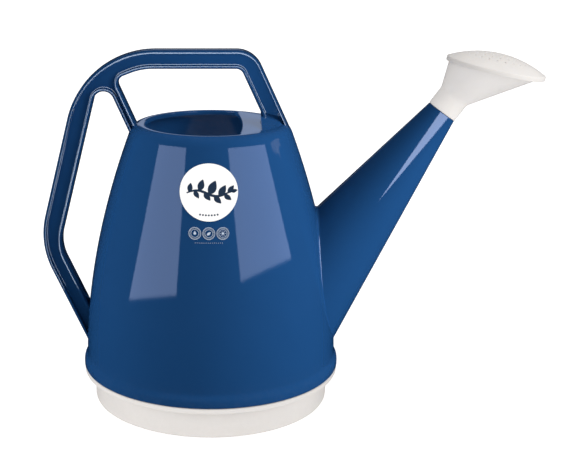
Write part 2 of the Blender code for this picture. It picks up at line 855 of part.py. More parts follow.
def main():
    clear_scene()
    parts = new_collection("watering_can")
    helpers = new_collection("cutters")
    blue = new_material("blue_plastic", (0.012, 0.070, 0.205), 0.18)
    white = new_material("white_plastic", (0.800, 0.775, 0.755), 0.45)
    rubber = new_material("black_rubber", (0.020, 0.020, 0.022), 0.80)
    film = new_material("label_film", (0.900, 0.900, 0.880), 0.35)
    envelope = make_tank_envelope(helpers)
    bore = make_spout_bore(helpers)
    make_body_shell(parts, helpers, blue, bore)
    make_base_cup(parts, white)
    make_base_seal(parts, rubber)
    make_handle_frame(parts, helpers, blue, envelope)
    make_spout_tube(parts, blue, envelope)
    make_rose_ring(parts, rubber)
    make_rose_funnel(parts, white)
    make_rose_face(parts, helpers, white)
    make_labels(parts, helpers, film)


main()
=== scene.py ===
"""Builds the finished look of a ten-litre moulded watering can.

The file is laid out as an add-on: its sizes and colours are properties, each
piece or group of like pieces has an operator, and one panel lists them all.
Run as a script it builds every piece round the packed model, then the stage.
"""

import json
import math

import bmesh
import bpy
from bpy.props import (FloatProperty, FloatVectorProperty, IntProperty,
                       PointerProperty)
from mathutils import Matrix, Vector
from mathutils.geometry import tessellate_polygon


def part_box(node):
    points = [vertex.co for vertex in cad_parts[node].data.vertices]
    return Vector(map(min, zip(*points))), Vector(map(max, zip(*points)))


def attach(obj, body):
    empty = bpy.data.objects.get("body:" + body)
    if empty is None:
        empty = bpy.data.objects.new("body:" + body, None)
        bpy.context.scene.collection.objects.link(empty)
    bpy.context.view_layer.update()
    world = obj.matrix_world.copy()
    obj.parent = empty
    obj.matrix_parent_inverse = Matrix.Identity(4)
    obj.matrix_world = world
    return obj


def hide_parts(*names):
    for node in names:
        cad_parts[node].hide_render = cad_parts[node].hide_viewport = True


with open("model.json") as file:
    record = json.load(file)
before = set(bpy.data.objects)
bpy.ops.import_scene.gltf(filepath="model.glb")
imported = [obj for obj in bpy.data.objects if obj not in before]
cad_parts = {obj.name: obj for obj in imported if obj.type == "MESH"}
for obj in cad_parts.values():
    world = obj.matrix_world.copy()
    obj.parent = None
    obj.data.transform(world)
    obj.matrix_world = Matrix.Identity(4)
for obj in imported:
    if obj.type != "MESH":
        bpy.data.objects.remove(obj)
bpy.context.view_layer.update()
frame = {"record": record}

bl_info = {
    "name": "Watering Can Builder",
    "version": (1, 0, 0),
    "blender": (4, 5, 0),
    "location": "3D Viewport > Sidebar > Watering Can",
    "description": "Builds a blue moulded watering can and its studio",
    "category": "Add Mesh",
}

JOINTS = {joint["name"]: joint for joint in frame["record"]["behaviour"]["joints"]}
SPOUT_TIP = Vector(JOINTS["rose_turn"]["pos_m"])
SPOUT_AXIS = Vector(JOINTS["rose_turn"]["axis"]).normalized()
SHELL_LOW, SHELL_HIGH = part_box("body_shell")
CUP_LOW, CUP_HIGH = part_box("base_cup")
HANDLE_LOW, HANDLE_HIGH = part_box("handle_frame")
NAUGHT = 1e-5


# --------------------------------------------------------------- properties

LEFT_PANEL = (
    (-0.628, -0.901, 0.827), (-0.768, -0.779, 0.801), (-0.916, -0.650, 0.785),
    (-1.087, -0.502, 0.777), (-1.304, -0.316, 0.779), (-1.226, -0.358, 0.566),
    (-1.201, -0.358, 0.386), (-1.214, -0.326, 0.207), (-1.270, -0.257, 0.014),
    (-1.020, -0.477, 0.072), (-0.837, -0.638, 0.108), (-0.682, -0.775, 0.134),
    (-0.533, -0.904, 0.154), (-0.538, -0.919, 0.311), (-0.553, -0.924, 0.470),
    (-0.579, -0.920, 0.634))
RIGHT_PANEL = (
    (0.462, -1.032, 0.867), (0.652, -0.860, 0.815), (0.841, -0.689, 0.782),
    (1.054, -0.496, 0.764), (1.341, -0.235, 0.762), (1.326, -0.249, 0.602),
    (1.335, -0.240, 0.466), (1.369, -0.210, 0.329), (1.431, -0.154, 0.184),
    (1.091, -0.462, 0.214), (0.866, -0.665, 0.224), (0.682, -0.832, 0.225),
    (0.507, -0.991, 0.221), (0.490, -1.006, 0.371), (0.478, -1.017, 0.523),
    (0.469, -1.025, 0.679))
SPOUT_PANEL = (
    (0.284, 0.276), (0.344, 0.271), (0.418, 0.257), (0.518, 0.228), (0.674, 0.169),
    (1.017, 0.016), (1.084, -0.014), (1.400, 0.100), (1.200, 0.900), (0.500, 1.000),
    (0.160, 0.584), (0.165, 0.574), (0.221, 0.484), (0.252, 0.418), (0.271, 0.364),
    (0.280, 0.318))
BEAD_PANELS = (
    (-0.390, -0.225, -0.600, 0.900), (0.090, 0.390, -0.600, 0.900),
    (-0.225, 0.090, 0.315, 0.900), (-0.225, -0.120, -0.600, -0.100),
    (-0.120, 0.090, -0.600, 0.160))


def length(name, description, default, low=0.0):
    return FloatProperty(name=name, description=description, default=default,
                         min=low, unit="LENGTH", precision=5)


def angle(name, description, degrees):
    return FloatProperty(name=name, description=description,
                         default=math.radians(degrees), subtype="ANGLE")


def share(name, description, default, low=0.0, high=1.0):
    return FloatProperty(name=name, description=description, default=default,
                         min=low, max=high, subtype="FACTOR")


def glow(name, description, default):
    return FloatProperty(name=name, description=description, default=default,
                         min=0.0)


def colour(name, description, default):
    return FloatVectorProperty(name=name, description=description, size=3,
                               default=default, min=0.0, max=1.0,
                               subtype="COLOR")


class TankSizes(bpy.types.PropertyGroup):
    """Sizes of the tank's shell and the cup that closes it."""

    foot_radius: length("Foot radius", "Outer radius of the wall at its foot", 0.1277)
    foot_height: length("Foot height", "Height where the wall's taper starts", 0.0450)
    rim_height: length("Rim height", "Height of the flat rim", SHELL_HIGH[2])
    rim_inner: length("Opening radius", "Radius of the fill opening", 0.0653)
    rim_outer: length("Rim radius", "Outer radius of the flat rim", 0.0701)
    wall_line: length("Wall line at rim", "Radius the wall aims at by the rim", 0.0776)
    taper_power: FloatProperty(name="Taper power", default=1.85, min=1.0,
                               description="How late the wall starts to lean in")
    shoulder_drop: length("Shoulder drop", "Height of the rounded shoulder", 0.0090)
    wall: length("Wall", "Thickness of the shell", 0.0025)
    bead_radius: length("Bead radius", "Outer radius of the bead round the foot",
                        SHELL_HIGH[1])
    bead_bottom: length("Bead bottom", "Height of the shell's lower edge",
                        SHELL_LOW[2])
    deck_edge: length("Deck edge", "Where the deck by the front strut starts", 0.0310)
    deck_bow: length("Deck bow", "Radius of the deck's bowed edge", 0.4320)
    deck_corner: length("Deck corner", "Softness of the deck's two corners", 0.0012)
    lip_depth: length("Lip depth", "Depth of the lip under the opening's edge", 0.0045)
    segments: IntProperty(name="Segments", default=240, min=24, max=512,
                          description="Facets round the tank")


class CupSizes(bpy.types.PropertyGroup):
    """Sizes of the white base cup."""

    radius: length("Cup radius", "Outer radius of the cup's wall", 0.1203)
    wall: length("Wall", "Thickness of the cup's wall", 0.0025)
    flange_radius: length("Flange radius", "Radius of the flange under the shell",
                          CUP_HIGH[1])
    flange: length("Flange", "Thickness of the flange", 0.0055)
    spigot: length("Spigot", "Height of the ring that goes up the shell", 0.0120)


class HandleSizes(bpy.types.PropertyGroup):
    """Sizes of the I-section handle frame."""

    depth: length("Depth", "Width of the frame across the can",
                  HANDLE_HIGH[1] - HANDLE_LOW[1])
    web: length("Web", "Thickness of the web between the beads", 0.0064)
    bead: length("Bead", "Width of the bead round each edge", 0.0034)
    grip_height: length("Grip height", "Height of the top bar", 0.0185)
    front_reach: length("Front reach", "Front strut beyond the rim", 0.0062)
    front_lean: angle("Front lean", "Lean of the front strut", 25.0)
    front_width: length("Front width", "Width of the front strut", 0.0195)
    foot_x: length("Front foot", "Where the front strut's foot ends on the deck",
                   0.0486)
    rear_reach: length("Rear reach", "Rear strut beyond the rim", 0.0035)
    rear_lean: angle("Rear lean", "Lean of the rear strut", 24.0)
    rear_width: length("Rear width", "Width of the rear strut", 0.0100)
    back_x: length("Back", "How far back the elbow's corner lies", -0.1742, -1.0)
    back_lean: angle("Back lean", "Lean of the back bar", 14.3)
    back_width: length("Back width", "Width of the back bar", 0.0210)
    elbow_height: length("Elbow height", "Height of the elbow's corner", 0.1620)
    low_width: length("Lower width", "Width of the lower bar", 0.0185)


class SpoutSizes(bpy.types.PropertyGroup):
    """Sizes of the conical spout and its nozzle."""

    tip_radius: length("Tip radius", "Outer radius at the tip", 0.0152)
    half_angle: angle("Half angle", "Half angle of the cone", 9.37)
    wall: length("Wall", "Thickness of the spout", 0.0025)
    root_fillet: length("Root fillet", "Fillet where the spout leaves the tank", 0.0022)
    nozzle_length: length("Nozzle length", "Length of the nozzle in the rose", 0.0180)
    nozzle_radius: length("Nozzle radius", "Outer radius of the nozzle", 0.0126)
    nozzle_bore: length("Nozzle bore", "Inner radius of the nozzle", 0.0100)
    groove_place: length("Groove", "Distance of the ring's groove from the tip", 0.0120)
    ring_section: length("Ring section", "Half thickness of the ring", 0.00065)
    segments: IntProperty(name="Segments", default=160, min=16, max=512,
                          description="Facets round the spout")


class RoseSizes(bpy.types.PropertyGroup):
    """Sizes of the two-piece rose."""

    neck_radius: length("Neck radius", "Outer radius of the neck", 0.0156)
    neck_bore: length("Neck bore", "Inner radius of the neck", 0.0131)
    neck_length: length("Neck length", "Length of the neck", 0.0192)
    radius: length("Radius", "Outer radius of the face", 0.04865)
    along: length("Centre along", "Face centre along the spout from its tip", 0.0655)
    aside: length("Centre aside", "Face centre to the spout's lower side", 0.0153)
    tilt: angle("Tilt", "How far the face is tipped up from the spout", 24.8)
    dome: length("Dome", "Rise of the face's dome", 0.0110)
    hole: length("Hole radius", "Radius of each perforation", 0.0009)
    hole_step: length("Ring step", "Distance between the rings of holes", 0.0078)
    hole_rings: IntProperty(name="Hole rings", default=4, min=1, max=8,
                            description="Rings of holes round the middle one")
    segments: IntProperty(name="Segments", default=144, min=16, max=512,
                          description="Facets round the rose")


class LabelSizes(bpy.types.PropertyGroup):
    """Sizes of the round label and the care marks below it."""

    radius: length("Label radius", "Radius of the round label", 0.0270)
    side: length("Label side", "Label's place beside the middle", -0.0018, -1.0)
    height: length("Label height", "Height of the label's middle", 0.2369)
    mark_radius: length("Mark radius", "Radius of each care mark", 0.0058)
    mark_height: length("Mark height", "Height of the care marks", 0.2004)
    mark_spacing: length("Mark spacing", "Distance between the care marks", 0.0130)
    film: length("Film", "Thickness of the label's film", 0.0003)
    ink: length("Ink", "Thickness of the printed ink", 0.00006)


class Finishes(bpy.types.PropertyGroup):
    """Colours and surface finish of every material."""

    blue: colour("Blue", "Pigment of the gloss plastic", (0.0068, 0.0385, 0.1170))
    blue_roughness: share("Blue roughness", "Roughness of the gloss plastic", 0.03)
    white: colour("White", "Pigment of the satin plastic", (0.715, 0.690, 0.668))
    white_roughness: share("White roughness", "Roughness of the satin plastic", 0.42)
    film: colour("Film", "Colour of the label film", (0.93, 0.93, 0.92))
    ink: colour("Ink", "Colour of the label's print", (0.010, 0.035, 0.085))
    rubber: colour("Rubber", "Colour of the seals", (0.016, 0.016, 0.018))
    grain: share("Grain", "Depth of the moulded grain", 0.10)
    dust: share("Dust", "Amount of dust near the ground", 0.06)


class StageSizes(bpy.types.PropertyGroup):
    """Camera, floor and lights."""

    eye: FloatVectorProperty(name="Eye", description="Place of the camera",
                             default=(0.0, -1.1885, 0.5102), subtype="XYZ",
                             unit="LENGTH")
    look_down: angle("Look down", "Camera's tilt below the horizon", 15.67)
    lens: FloatProperty(name="Lens", description="Focal length in millimetres",
                        default=77.29, min=10.0, max=300.0)
    shift: FloatProperty(name="Shift", description="Sideways shift of the frame",
                         default=0.1276, min=-1.0, max=1.0)
    panel: glow("Side panels", "Glow of the two side panels", 3.6)
    spout_panel: glow("Spout panel", "Glow of the panel the spout mirrors", 10.5)
    crest_panel: glow("Bead panels", "Glow of the panels the beads mirror", 12.0)
    fill: glow("Fill", "Even light of the room", 0.53)
    backdrop: glow("Backdrop", "Glow of the far wall", 0.74)
    right_lamp: glow("Right lamp", "Watts of the lamp on the right", 33.0)
    left_lamp: glow("Left lamp", "Watts of the lamp on the left", 20.0)
    spout_lamp: glow("Spout lamp", "Watts of the lamp under the spout", 5.0)
    grip_lamp: glow("Grip lamp", "Watts of the lamp at the grip", 0.28)
    white_lamp: glow("White lamps", "Watts of each lamp on white plastic", 5.8)
    rose_lamp: glow("Rose lamp", "Watts of the lamp on the rose", 9.0)
    inner_glow: glow("Inner glow", "Light that the thin tank lets in, in watts", 0.28)


GROUPS = {
    "can_tank": TankSizes, "can_cup": CupSizes, "can_handle": HandleSizes,
    "can_spout": SpoutSizes, "can_rose": RoseSizes, "can_label": LabelSizes,
    "can_finish": Finishes, "can_stage": StageSizes,
}


# --------------------------------------------------------------- node helpers

def put(tree, kind, inputs=None, **settings):
    """Adds a node, with its inputs set or linked by their name or index."""
    node = tree.nodes.new(kind)
    for name, value in settings.items():
        setattr(node, name, value)
    for key, value in (inputs or {}).items():
        if isinstance(value, bpy.types.NodeSocket):
            tree.links.new(value, node.inputs[key])
        else:
            node.inputs[key].default_value = value
    return node


def calc(tree, operation, *terms):
    """The output of a Math node."""
    return put(tree, "ShaderNodeMath", dict(enumerate(terms)),
               operation=operation).outputs[0]


def ramp(tree, value, low, high, out_low=0.0, out_high=1.0):
    """The output of a Map Range node that clamps."""
    node = put(tree, "ShaderNodeMapRange", {
        0: value, 1: low, 2: high, 3: out_low, 4: out_high})
    return node.outputs[0]


def mix_colours(tree, factor, first, second, blend="MIX"):
    node = put(tree, "ShaderNodeMix", {0: factor, 6: first, 7: second},
               data_type="RGBA", blend_type=blend)
    return node.outputs[2]


def rgba(values):
    return (*values, 1.0)


def arrange(tree):
    """Sets the nodes out in columns, inputs on the left."""
    depth = {}

    def column(node):
        if node not in depth:
            depth[node] = 0
            sources = [link.from_node for socket in node.inputs
                       for link in socket.links]
            depth[node] = 1 + max(map(column, sources), default=-1)
        return depth[node]

    rows = {}
    for node in tree.nodes:
        place = column(node)
        rows[place] = rows.get(place, 0) + 1
        node.location = (220.0 * place, -190.0 * rows[place])


def new_tree(name, kind, sockets):
    """A node group with its sockets, given as (in or out, type, name, default)."""
    tree = bpy.data.node_groups.new(name, kind)
    for way, sort, label, default in sockets:
        item = tree.interface.new_socket(
            name=label, in_out="INPUT" if way == "in" else "OUTPUT",
            socket_type="NodeSocket" + sort)
        if default is not None:
            item.default_value = default
    given = tree.nodes.new("NodeGroupInput")
    result = tree.nodes.new("NodeGroupOutput")
    return tree, given.outputs, result


def baked_by_nodes(name, tree, values, mesh=None):
    """Runs a Geometry Nodes tree on an object and keeps the plain mesh."""
    start = mesh or bpy.data.meshes.new(name + "_start")
    obj = bpy.data.objects.new(name, start)
    bpy.context.scene.collection.objects.link(obj)
    modifier = obj.modifiers.new("build", "NODES")
    modifier.node_group = tree
    names = {item.name: item.identifier for item in tree.interface.items_tree
             if item.in_out == "INPUT"}
    for label, value in values.items():
        modifier[names[label]] = value
    bpy.context.view_layer.update()
    graph = bpy.context.evaluated_depsgraph_get()
    made = bpy.data.meshes.new_from_object(obj.evaluated_get(graph))
    bpy.data.objects.remove(obj)
    made.name = name
    return made


# ------------------------------------------------------- shared shader groups

def grain_group():
    """Fine moulded grain and slow waviness, as a height and a mask."""
    tree, given, result = new_tree("Moulded grain", "ShaderNodeTree", [
        ("in", "Float", "Grain Size", 900.0), ("in", "Float", "Wave Size", 14.0),
        ("in", "Float", "Wave Share", 0.5), ("out", "Float", "Height", None),
        ("out", "Float", "Mottle", None)])
    where = put(tree, "ShaderNodeTexCoord").outputs["Object"]
    fine = put(tree, "ShaderNodeTexNoise", {
        "Vector": where, "Scale": given["Grain Size"], "Detail": 2.0,
        "Roughness": 0.6})
    slow = put(tree, "ShaderNodeTexNoise", {
        "Vector": where, "Scale": given["Wave Size"], "Detail": 1.0,
        "Roughness": 0.4})
    blotch = put(tree, "ShaderNodeTexNoise", {
        "Vector": where, "Scale": 38.0, "Detail": 4.0, "Roughness": 0.55})
    lifted = calc(tree, "MULTIPLY", slow.outputs[0], given["Wave Share"])
    total = calc(tree, "ADD", fine.outputs[0], lifted)
    tree.links.new(total, result.inputs["Height"])
    tree.links.new(ramp(tree, blotch.outputs[0], 0.30, 0.70),
                   result.inputs["Mottle"])
    arrange(tree)
    return tree


def scratch_group():
    """Hairline scratches from handling, as a mask."""
    tree, given, result = new_tree("Hairline scratches", "ShaderNodeTree", [
        ("in", "Float", "Density", 0.5), ("in", "Float", "Length", 12.0),
        ("out", "Float", "Mask", None)])
    where = put(tree, "ShaderNodeTexCoord").outputs["Object"]
    found = None
    for turn, squeeze in ((0.4, 160.0), (1.9, 210.0), (2.7, 180.0)):
        mapping = put(tree, "ShaderNodeMapping", {
            "Vector": where, "Rotation": (0.6 * turn, turn, 0.3),
            "Scale": (squeeze, squeeze, 6.0)})
        stretched = put(tree, "ShaderNodeTexNoise", {
            "Vector": mapping.outputs[0], "Scale": 1.0, "Detail": 1.0})
        line = ramp(tree, stretched.outputs[0], 0.735, 0.765)
        found = line if found is None else calc(tree, "MAXIMUM", found, line)
    patches = put(tree, "ShaderNodeTexNoise", {
        "Vector": where, "Scale": given["Length"], "Detail": 2.0})
    open_at = calc(tree, "SUBTRACT", 0.80, calc(tree, "MULTIPLY",
                                               given["Density"], 0.45))
    shown = ramp(tree, patches.outputs[0], open_at,
                 calc(tree, "ADD", open_at, 0.08))
    tree.links.new(calc(tree, "MULTIPLY", found, shown), result.inputs["Mask"])
    arrange(tree)
    return tree


def dust_group():
    """Dust that lies on upward faces and gathers near the ground."""
    tree, given, result = new_tree("Settled dust", "ShaderNodeTree", [
        ("in", "Float", "Amount", 0.2), ("in", "Float", "Low", 0.0),
        ("in", "Float", "High", 0.06), ("out", "Float", "Mask", None)])
    where = put(tree, "ShaderNodeTexCoord").outputs["Object"]
    height = put(tree, "ShaderNodeSeparateXYZ", {0: where}).outputs[2]
    low = ramp(tree, height, given["Low"], given["High"], 1.0, 0.0)
    facing = put(tree, "ShaderNodeSeparateXYZ", {
        0: put(tree, "ShaderNodeNewGeometry").outputs["Normal"]}).outputs[2]
    upward = ramp(tree, facing, 0.55, 1.0, 0.0, 0.45)
    specks = put(tree, "ShaderNodeTexNoise", {
        "Vector": where, "Scale": 260.0, "Detail": 6.0, "Roughness": 0.7})
    broken = ramp(tree, specks.outputs[0], 0.44, 0.66)
    gathered = calc(tree, "MULTIPLY", calc(tree, "MAXIMUM", low, upward), broken)
    tree.links.new(calc(tree, "MULTIPLY", gathered, given["Amount"]),
                   result.inputs["Mask"])
    arrange(tree)
    return tree


def shared_group(name, maker):
    found = bpy.data.node_groups.get(name)
    return found if found else maker()


def use_group(tree, group, **values):
    node = tree.nodes.new("ShaderNodeGroup")
    node.node_tree = group
    for name, value in values.items():
        node.inputs[name.replace("_", " ")].default_value = value
    return node.outputs


# ------------------------------------------------------------------ materials

def bare_material(name, roughness, shown):
    material = bpy.data.materials.new(name)
    material.use_nodes = True
    material.diffuse_color = rgba(shown)
    shader = material.node_tree.nodes["Principled BSDF"]
    shader.inputs["Roughness"].default_value = roughness
    return material, material.node_tree, shader


def plastic(name, pigment, roughness, grain, wave, scratch, dust, tint,
            bump=0.00004, translucent=0.0):
    """A moulded plastic with grain, hairlines, mottle and a little dust."""
    found = bpy.data.materials.get(name)
    if found:
        return found
    material, tree, shader = bare_material(name, roughness, pigment)
    moulded = use_group(tree, shared_group("Moulded grain", grain_group),
                        Grain_Size=grain, Wave_Size=wave, Wave_Share=0.9)
    hairs = use_group(tree, shared_group("Hairline scratches", scratch_group),
                      Density=scratch)
    dusty = use_group(tree, shared_group("Settled dust", dust_group),
                      Amount=dust)
    deeper = [value * 0.97 for value in pigment]
    base = mix_colours(tree, moulded["Mottle"], rgba(deeper), rgba(pigment))
    scuffed = mix_colours(tree, calc(tree, "MULTIPLY", hairs["Mask"], 0.18),
                          base, rgba(tint))
    covered = mix_colours(tree, dusty["Mask"], scuffed, rgba((0.42, 0.39, 0.35)))
    tree.links.new(covered, shader.inputs["Base Color"])
    rough = ramp(tree, moulded["Mottle"], 0.0, 1.0, roughness * 0.92,
                 roughness * 1.10)
    rough = calc(tree, "ADD", rough, calc(tree, "MULTIPLY", hairs["Mask"], 0.16))
    rough = calc(tree, "ADD", rough, calc(tree, "MULTIPLY", dusty["Mask"], 0.5))
    tree.links.new(rough, shader.inputs["Roughness"])
    relief = put(tree, "ShaderNodeBump", {
        "Strength": 1.0, "Distance": bump, "Height": moulded["Height"]})
    tree.links.new(relief.outputs[0], shader.inputs["Normal"])
    shader.inputs["IOR"].default_value = 1.49
    if translucent:
        shader.inputs["Subsurface Weight"].default_value = translucent
        shader.inputs["Subsurface Radius"].default_value = (1.0, 0.8, 0.6)
        shader.inputs["Subsurface Scale"].default_value = 0.004
    arrange(tree)
    return material


def blue_plastic():
    finish = bpy.context.scene.can_finish
    return plastic("gloss_blue_polypropylene", finish.blue,
                   finish.blue_roughness, 1100.0, 11.0, 0.16,
                   finish.dust * 0.5, (0.10, 0.17, 0.30),
                   bump=0.00010 * finish.grain)


def white_plastic():
    finish = bpy.context.scene.can_finish
    return plastic("satin_white_polypropylene", finish.white,
                   finish.white_roughness, 1500.0, 24.0, 0.10, finish.dust,
                   (0.70, 0.68, 0.65), bump=0.00020 * finish.grain,
                   translucent=0.08)


def seal_rubber():
    finish = bpy.context.scene.can_finish
    return plastic("black_seal_rubber", finish.rubber, 0.72, 2200.0, 60.0,
                   0.10, 0.05, (0.05, 0.05, 0.05), bump=0.00040 * finish.grain)


def label_film():
    finish = bpy.context.scene.can_finish
    return plastic("white_label_film", finish.film, 0.33, 1800.0, 40.0, 0.15,
                   0.02, (0.80, 0.80, 0.80), bump=0.00012 * finish.grain)


def label_ink():
    finish = bpy.context.scene.can_finish
    return plastic("navy_label_ink", finish.ink, 0.38, 2600.0, 60.0, 0.15,
                   0.02, (0.08, 0.10, 0.14), bump=0.00020 * finish.grain)


def mark_ink():
    return plastic("pale_mark_ink", (0.60, 0.68, 0.80), 0.36, 2600.0, 60.0,
                   0.15, 0.02, (0.40, 0.46, 0.55), bump=0.00002)


# ------------------------------------------------------------- mesh helpers

def smooth_mesh(mesh, crease=35.0):
    mesh.shade_smooth()
    mesh.set_sharp_from_angle(angle=math.radians(crease))
    return mesh


def mesh_from(shape, name, crease=35.0, outward=True):
    if outward:
        bmesh.ops.recalc_face_normals(shape, faces=shape.faces)
    mesh = bpy.data.meshes.new(name)
    shape.to_mesh(mesh)
    shape.free()
    return smooth_mesh(mesh, crease)


def add_rings(shape, rings, closed=False):
    """Joins rings of as many points each with strips of quads."""
    rows = [[shape.verts.new(point) for point in ring] for ring in rings]
    pairs = list(zip(rows, rows[1:]))
    if closed:
        pairs.append((rows[-1], rows[0]))
    for row, following in pairs:
        for i, vert in enumerate(row):
            j = (i + 1) % len(row)
            shape.faces.new((vert, row[j], following[j], following[i]))
    return rows


def finish_piece(name, mesh, body, slot, material, *nodes):
    """Adds a finished piece, which stands for CAD nodes and rides on a body."""
    obj = bpy.data.objects.new(name, mesh)
    bpy.context.scene.collection.objects.link(obj)
    mesh.materials.clear()
    mesh.materials.append(material)
    if nodes:
        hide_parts(*nodes)
    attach(obj, body)
    return obj


def with_cuts(mesh, cutter_meshes, name, crease=35.0):
    """The mesh less each cutter, as a plain mesh."""
    obj = bpy.data.objects.new(name, mesh)
    bpy.context.scene.collection.objects.link(obj)
    cutters = []
    for cut in cutter_meshes:
        cutter = bpy.data.objects.new(name + "_cutter", cut)
        bpy.context.scene.collection.objects.link(cutter)
        cutters.append(cutter)
        modifier = obj.modifiers.new("cut", "BOOLEAN")
        modifier.object = cutter
        modifier.solver = "MANIFOLD"
    bpy.context.view_layer.update()
    graph = bpy.context.evaluated_depsgraph_get()
    made = bpy.data.meshes.new_from_object(obj.evaluated_get(graph))
    for extra in [obj, *cutters]:
        bpy.data.objects.remove(extra)
    made.name = name
    return smooth_mesh(made, crease)


def bend(start, control, end, steps):
    """Points on a quadratic curve, without its first point."""
    found = []
    for step in range(1, steps + 1):
        t = step / steps
        a, b, c = (1 - t) ** 2, 2 * t * (1 - t), t ** 2
        found.append(tuple(a * s + b * m + c * e
                           for s, m, e in zip(start, control, end)))
    return found


def turned_ring(radius, height, segments):
    return [Vector((radius * math.cos(turn), radius * math.sin(turn), height))
            for turn in (2 * math.pi * i / segments for i in range(segments))]


SIDEWAYS = Vector((0.0, 1.0, 0.0))


def across_from(axis):
    """The direction across an axis, in the can's plane."""
    return Vector((axis.z, 0.0, -axis.x))


def ring_about(centre, axis, radius, segments):
    across = across_from(axis)
    return [centre + radius * (math.cos(turn) * across + math.sin(turn) * SIDEWAYS)
            for turn in (2 * math.pi * i / segments for i in range(segments))]


def softened(profile, radii, steps=4):
    """A profile whose corners are rounded by the radius given for each."""
    found = []
    count = len(profile)
    for i, point in enumerate(profile):
        radius = radii.get(i, 0.0)
        if radius <= 0.0 or i in (0, count - 1):
            found.append(point)
            continue
        here = Vector(point)
        back = Vector(profile[i - 1]) - here
        ahead = Vector(profile[i + 1]) - here
        reach = min(radius, back.length * 0.49, ahead.length * 0.49)
        first = here + back.normalized() * reach
        last = here + ahead.normalized() * reach
        found.append(tuple(first))
        found += bend(tuple(first), tuple(here), tuple(last), steps)
    return found


# ---------------------------------------------------------------------- tank

def wall_radius(height, sizes, inset=0.0):
    """Outer radius of the tank's wall at a height."""
    rise = (height - sizes.foot_height) / (sizes.rim_height - sizes.foot_height)
    lean = (sizes.foot_radius - sizes.wall_line) * max(rise, 0.0) ** sizes.taper_power
    return sizes.foot_radius - lean - inset


def wall_slope(height, sizes):
    step = 1e-4
    return (wall_radius(height + step, sizes)
            - wall_radius(height - step, sizes)) / (2 * step)


def wall_tree():
    """Geometry Nodes: the tank's tapered wall, outside and inside."""
    tree, given, result = new_tree("Tapered wall", "GeometryNodeTree", [
        ("in", "Int", "Segments", 240), ("in", "Int", "Rows", 40),
        ("in", "Float", "Foot Radius", 0.12), ("in", "Float", "Rim Line", 0.08),
        ("in", "Float", "Foot Height", 0.045), ("in", "Float", "Rim Height", 0.285),
        ("in", "Float", "Low", 0.052), ("in", "Float", "High", 0.272),
        ("in", "Float", "Taper Power", 1.85), ("in", "Float", "Wall", 0.0025),
        ("in", "Material", "Material", None), ("out", "Geometry", "Geometry", None)])
    columns = calc(tree, "ADD", given["Segments"], 1.0)
    grid = put(tree, "GeometryNodeMeshGrid", {
        "Size X": 1.0, "Size Y": 1.0, "Vertices X": columns,
        "Vertices Y": given["Rows"]}).outputs[0]
    where = put(tree, "ShaderNodeSeparateXYZ", {
        0: put(tree, "GeometryNodeInputPosition").outputs[0]})
    turn = calc(tree, "MULTIPLY", calc(tree, "ADD", where.outputs[0], 0.5), math.tau)
    part = calc(tree, "ADD", where.outputs[1], 0.5)
    height = calc(tree, "ADD", given["Low"], calc(
        tree, "MULTIPLY", part, calc(tree, "SUBTRACT", given["High"], given["Low"])))
    rise = calc(tree, "DIVIDE",
                calc(tree, "SUBTRACT", height, given["Foot Height"]),
                calc(tree, "SUBTRACT", given["Rim Height"], given["Foot Height"]))
    lean = calc(tree, "MULTIPLY",
                calc(tree, "SUBTRACT", given["Foot Radius"], given["Rim Line"]),
                calc(tree, "POWER", calc(tree, "MAXIMUM", rise, 0.0),
                     given["Taper Power"]))
    outside = calc(tree, "SUBTRACT", given["Foot Radius"], lean)
    inside = calc(tree, "SUBTRACT", outside, given["Wall"])
    joined = tree.nodes.new("GeometryNodeJoinGeometry")
    for radius in (outside, inside):
        place = put(tree, "ShaderNodeCombineXYZ", {
            0: calc(tree, "MULTIPLY", radius, calc(tree, "COSINE", turn)),
            1: calc(tree, "MULTIPLY", radius, calc(tree, "SINE", turn)),
            2: height}).outputs[0]
        skin = put(tree, "GeometryNodeSetPosition", {
            "Geometry": grid, "Position": place}).outputs[0]
        if radius is inside:
            skin = put(tree, "GeometryNodeFlipFaces", {0: skin}).outputs[0]
        seamless = put(tree, "GeometryNodeMergeByDistance", {
            "Geometry": skin, "Distance": NAUGHT}).outputs[0]
        tree.links.new(seamless, joined.inputs[0])
    real = put(tree, "GeometryNodeRealizeInstances", {0: joined.outputs[0]})
    painted = put(tree, "GeometryNodeSetMaterial", {
        "Geometry": real.outputs[0], "Material": given["Material"]})
    tree.links.new(painted.outputs[0], result.inputs[0])
    arrange(tree)
    return tree


def opening_ring(sizes, outset, height):
    """The fill opening's edge: a circle cut off by the deck's bowed edge."""
    points = []
    circle = sizes.rim_inner + outset
    centre = sizes.deck_edge - sizes.deck_bow
    bow = sizes.deck_bow + outset
    soft = sizes.deck_corner + 0.35 * outset
    for i in range(sizes.segments):
        turn = 2 * math.pi * i / sizes.segments
        along = math.cos(turn) * centre
        reach = along + math.sqrt(along * along - centre * centre + bow * bow)
        least = min(circle, reach)
        blend = sum(math.exp(-(value - least) / soft) for value in (circle, reach))
        radius = least - soft * math.log(blend)
        points.append(Vector((radius * math.cos(turn), radius * math.sin(turn),
                              height)))
    return points


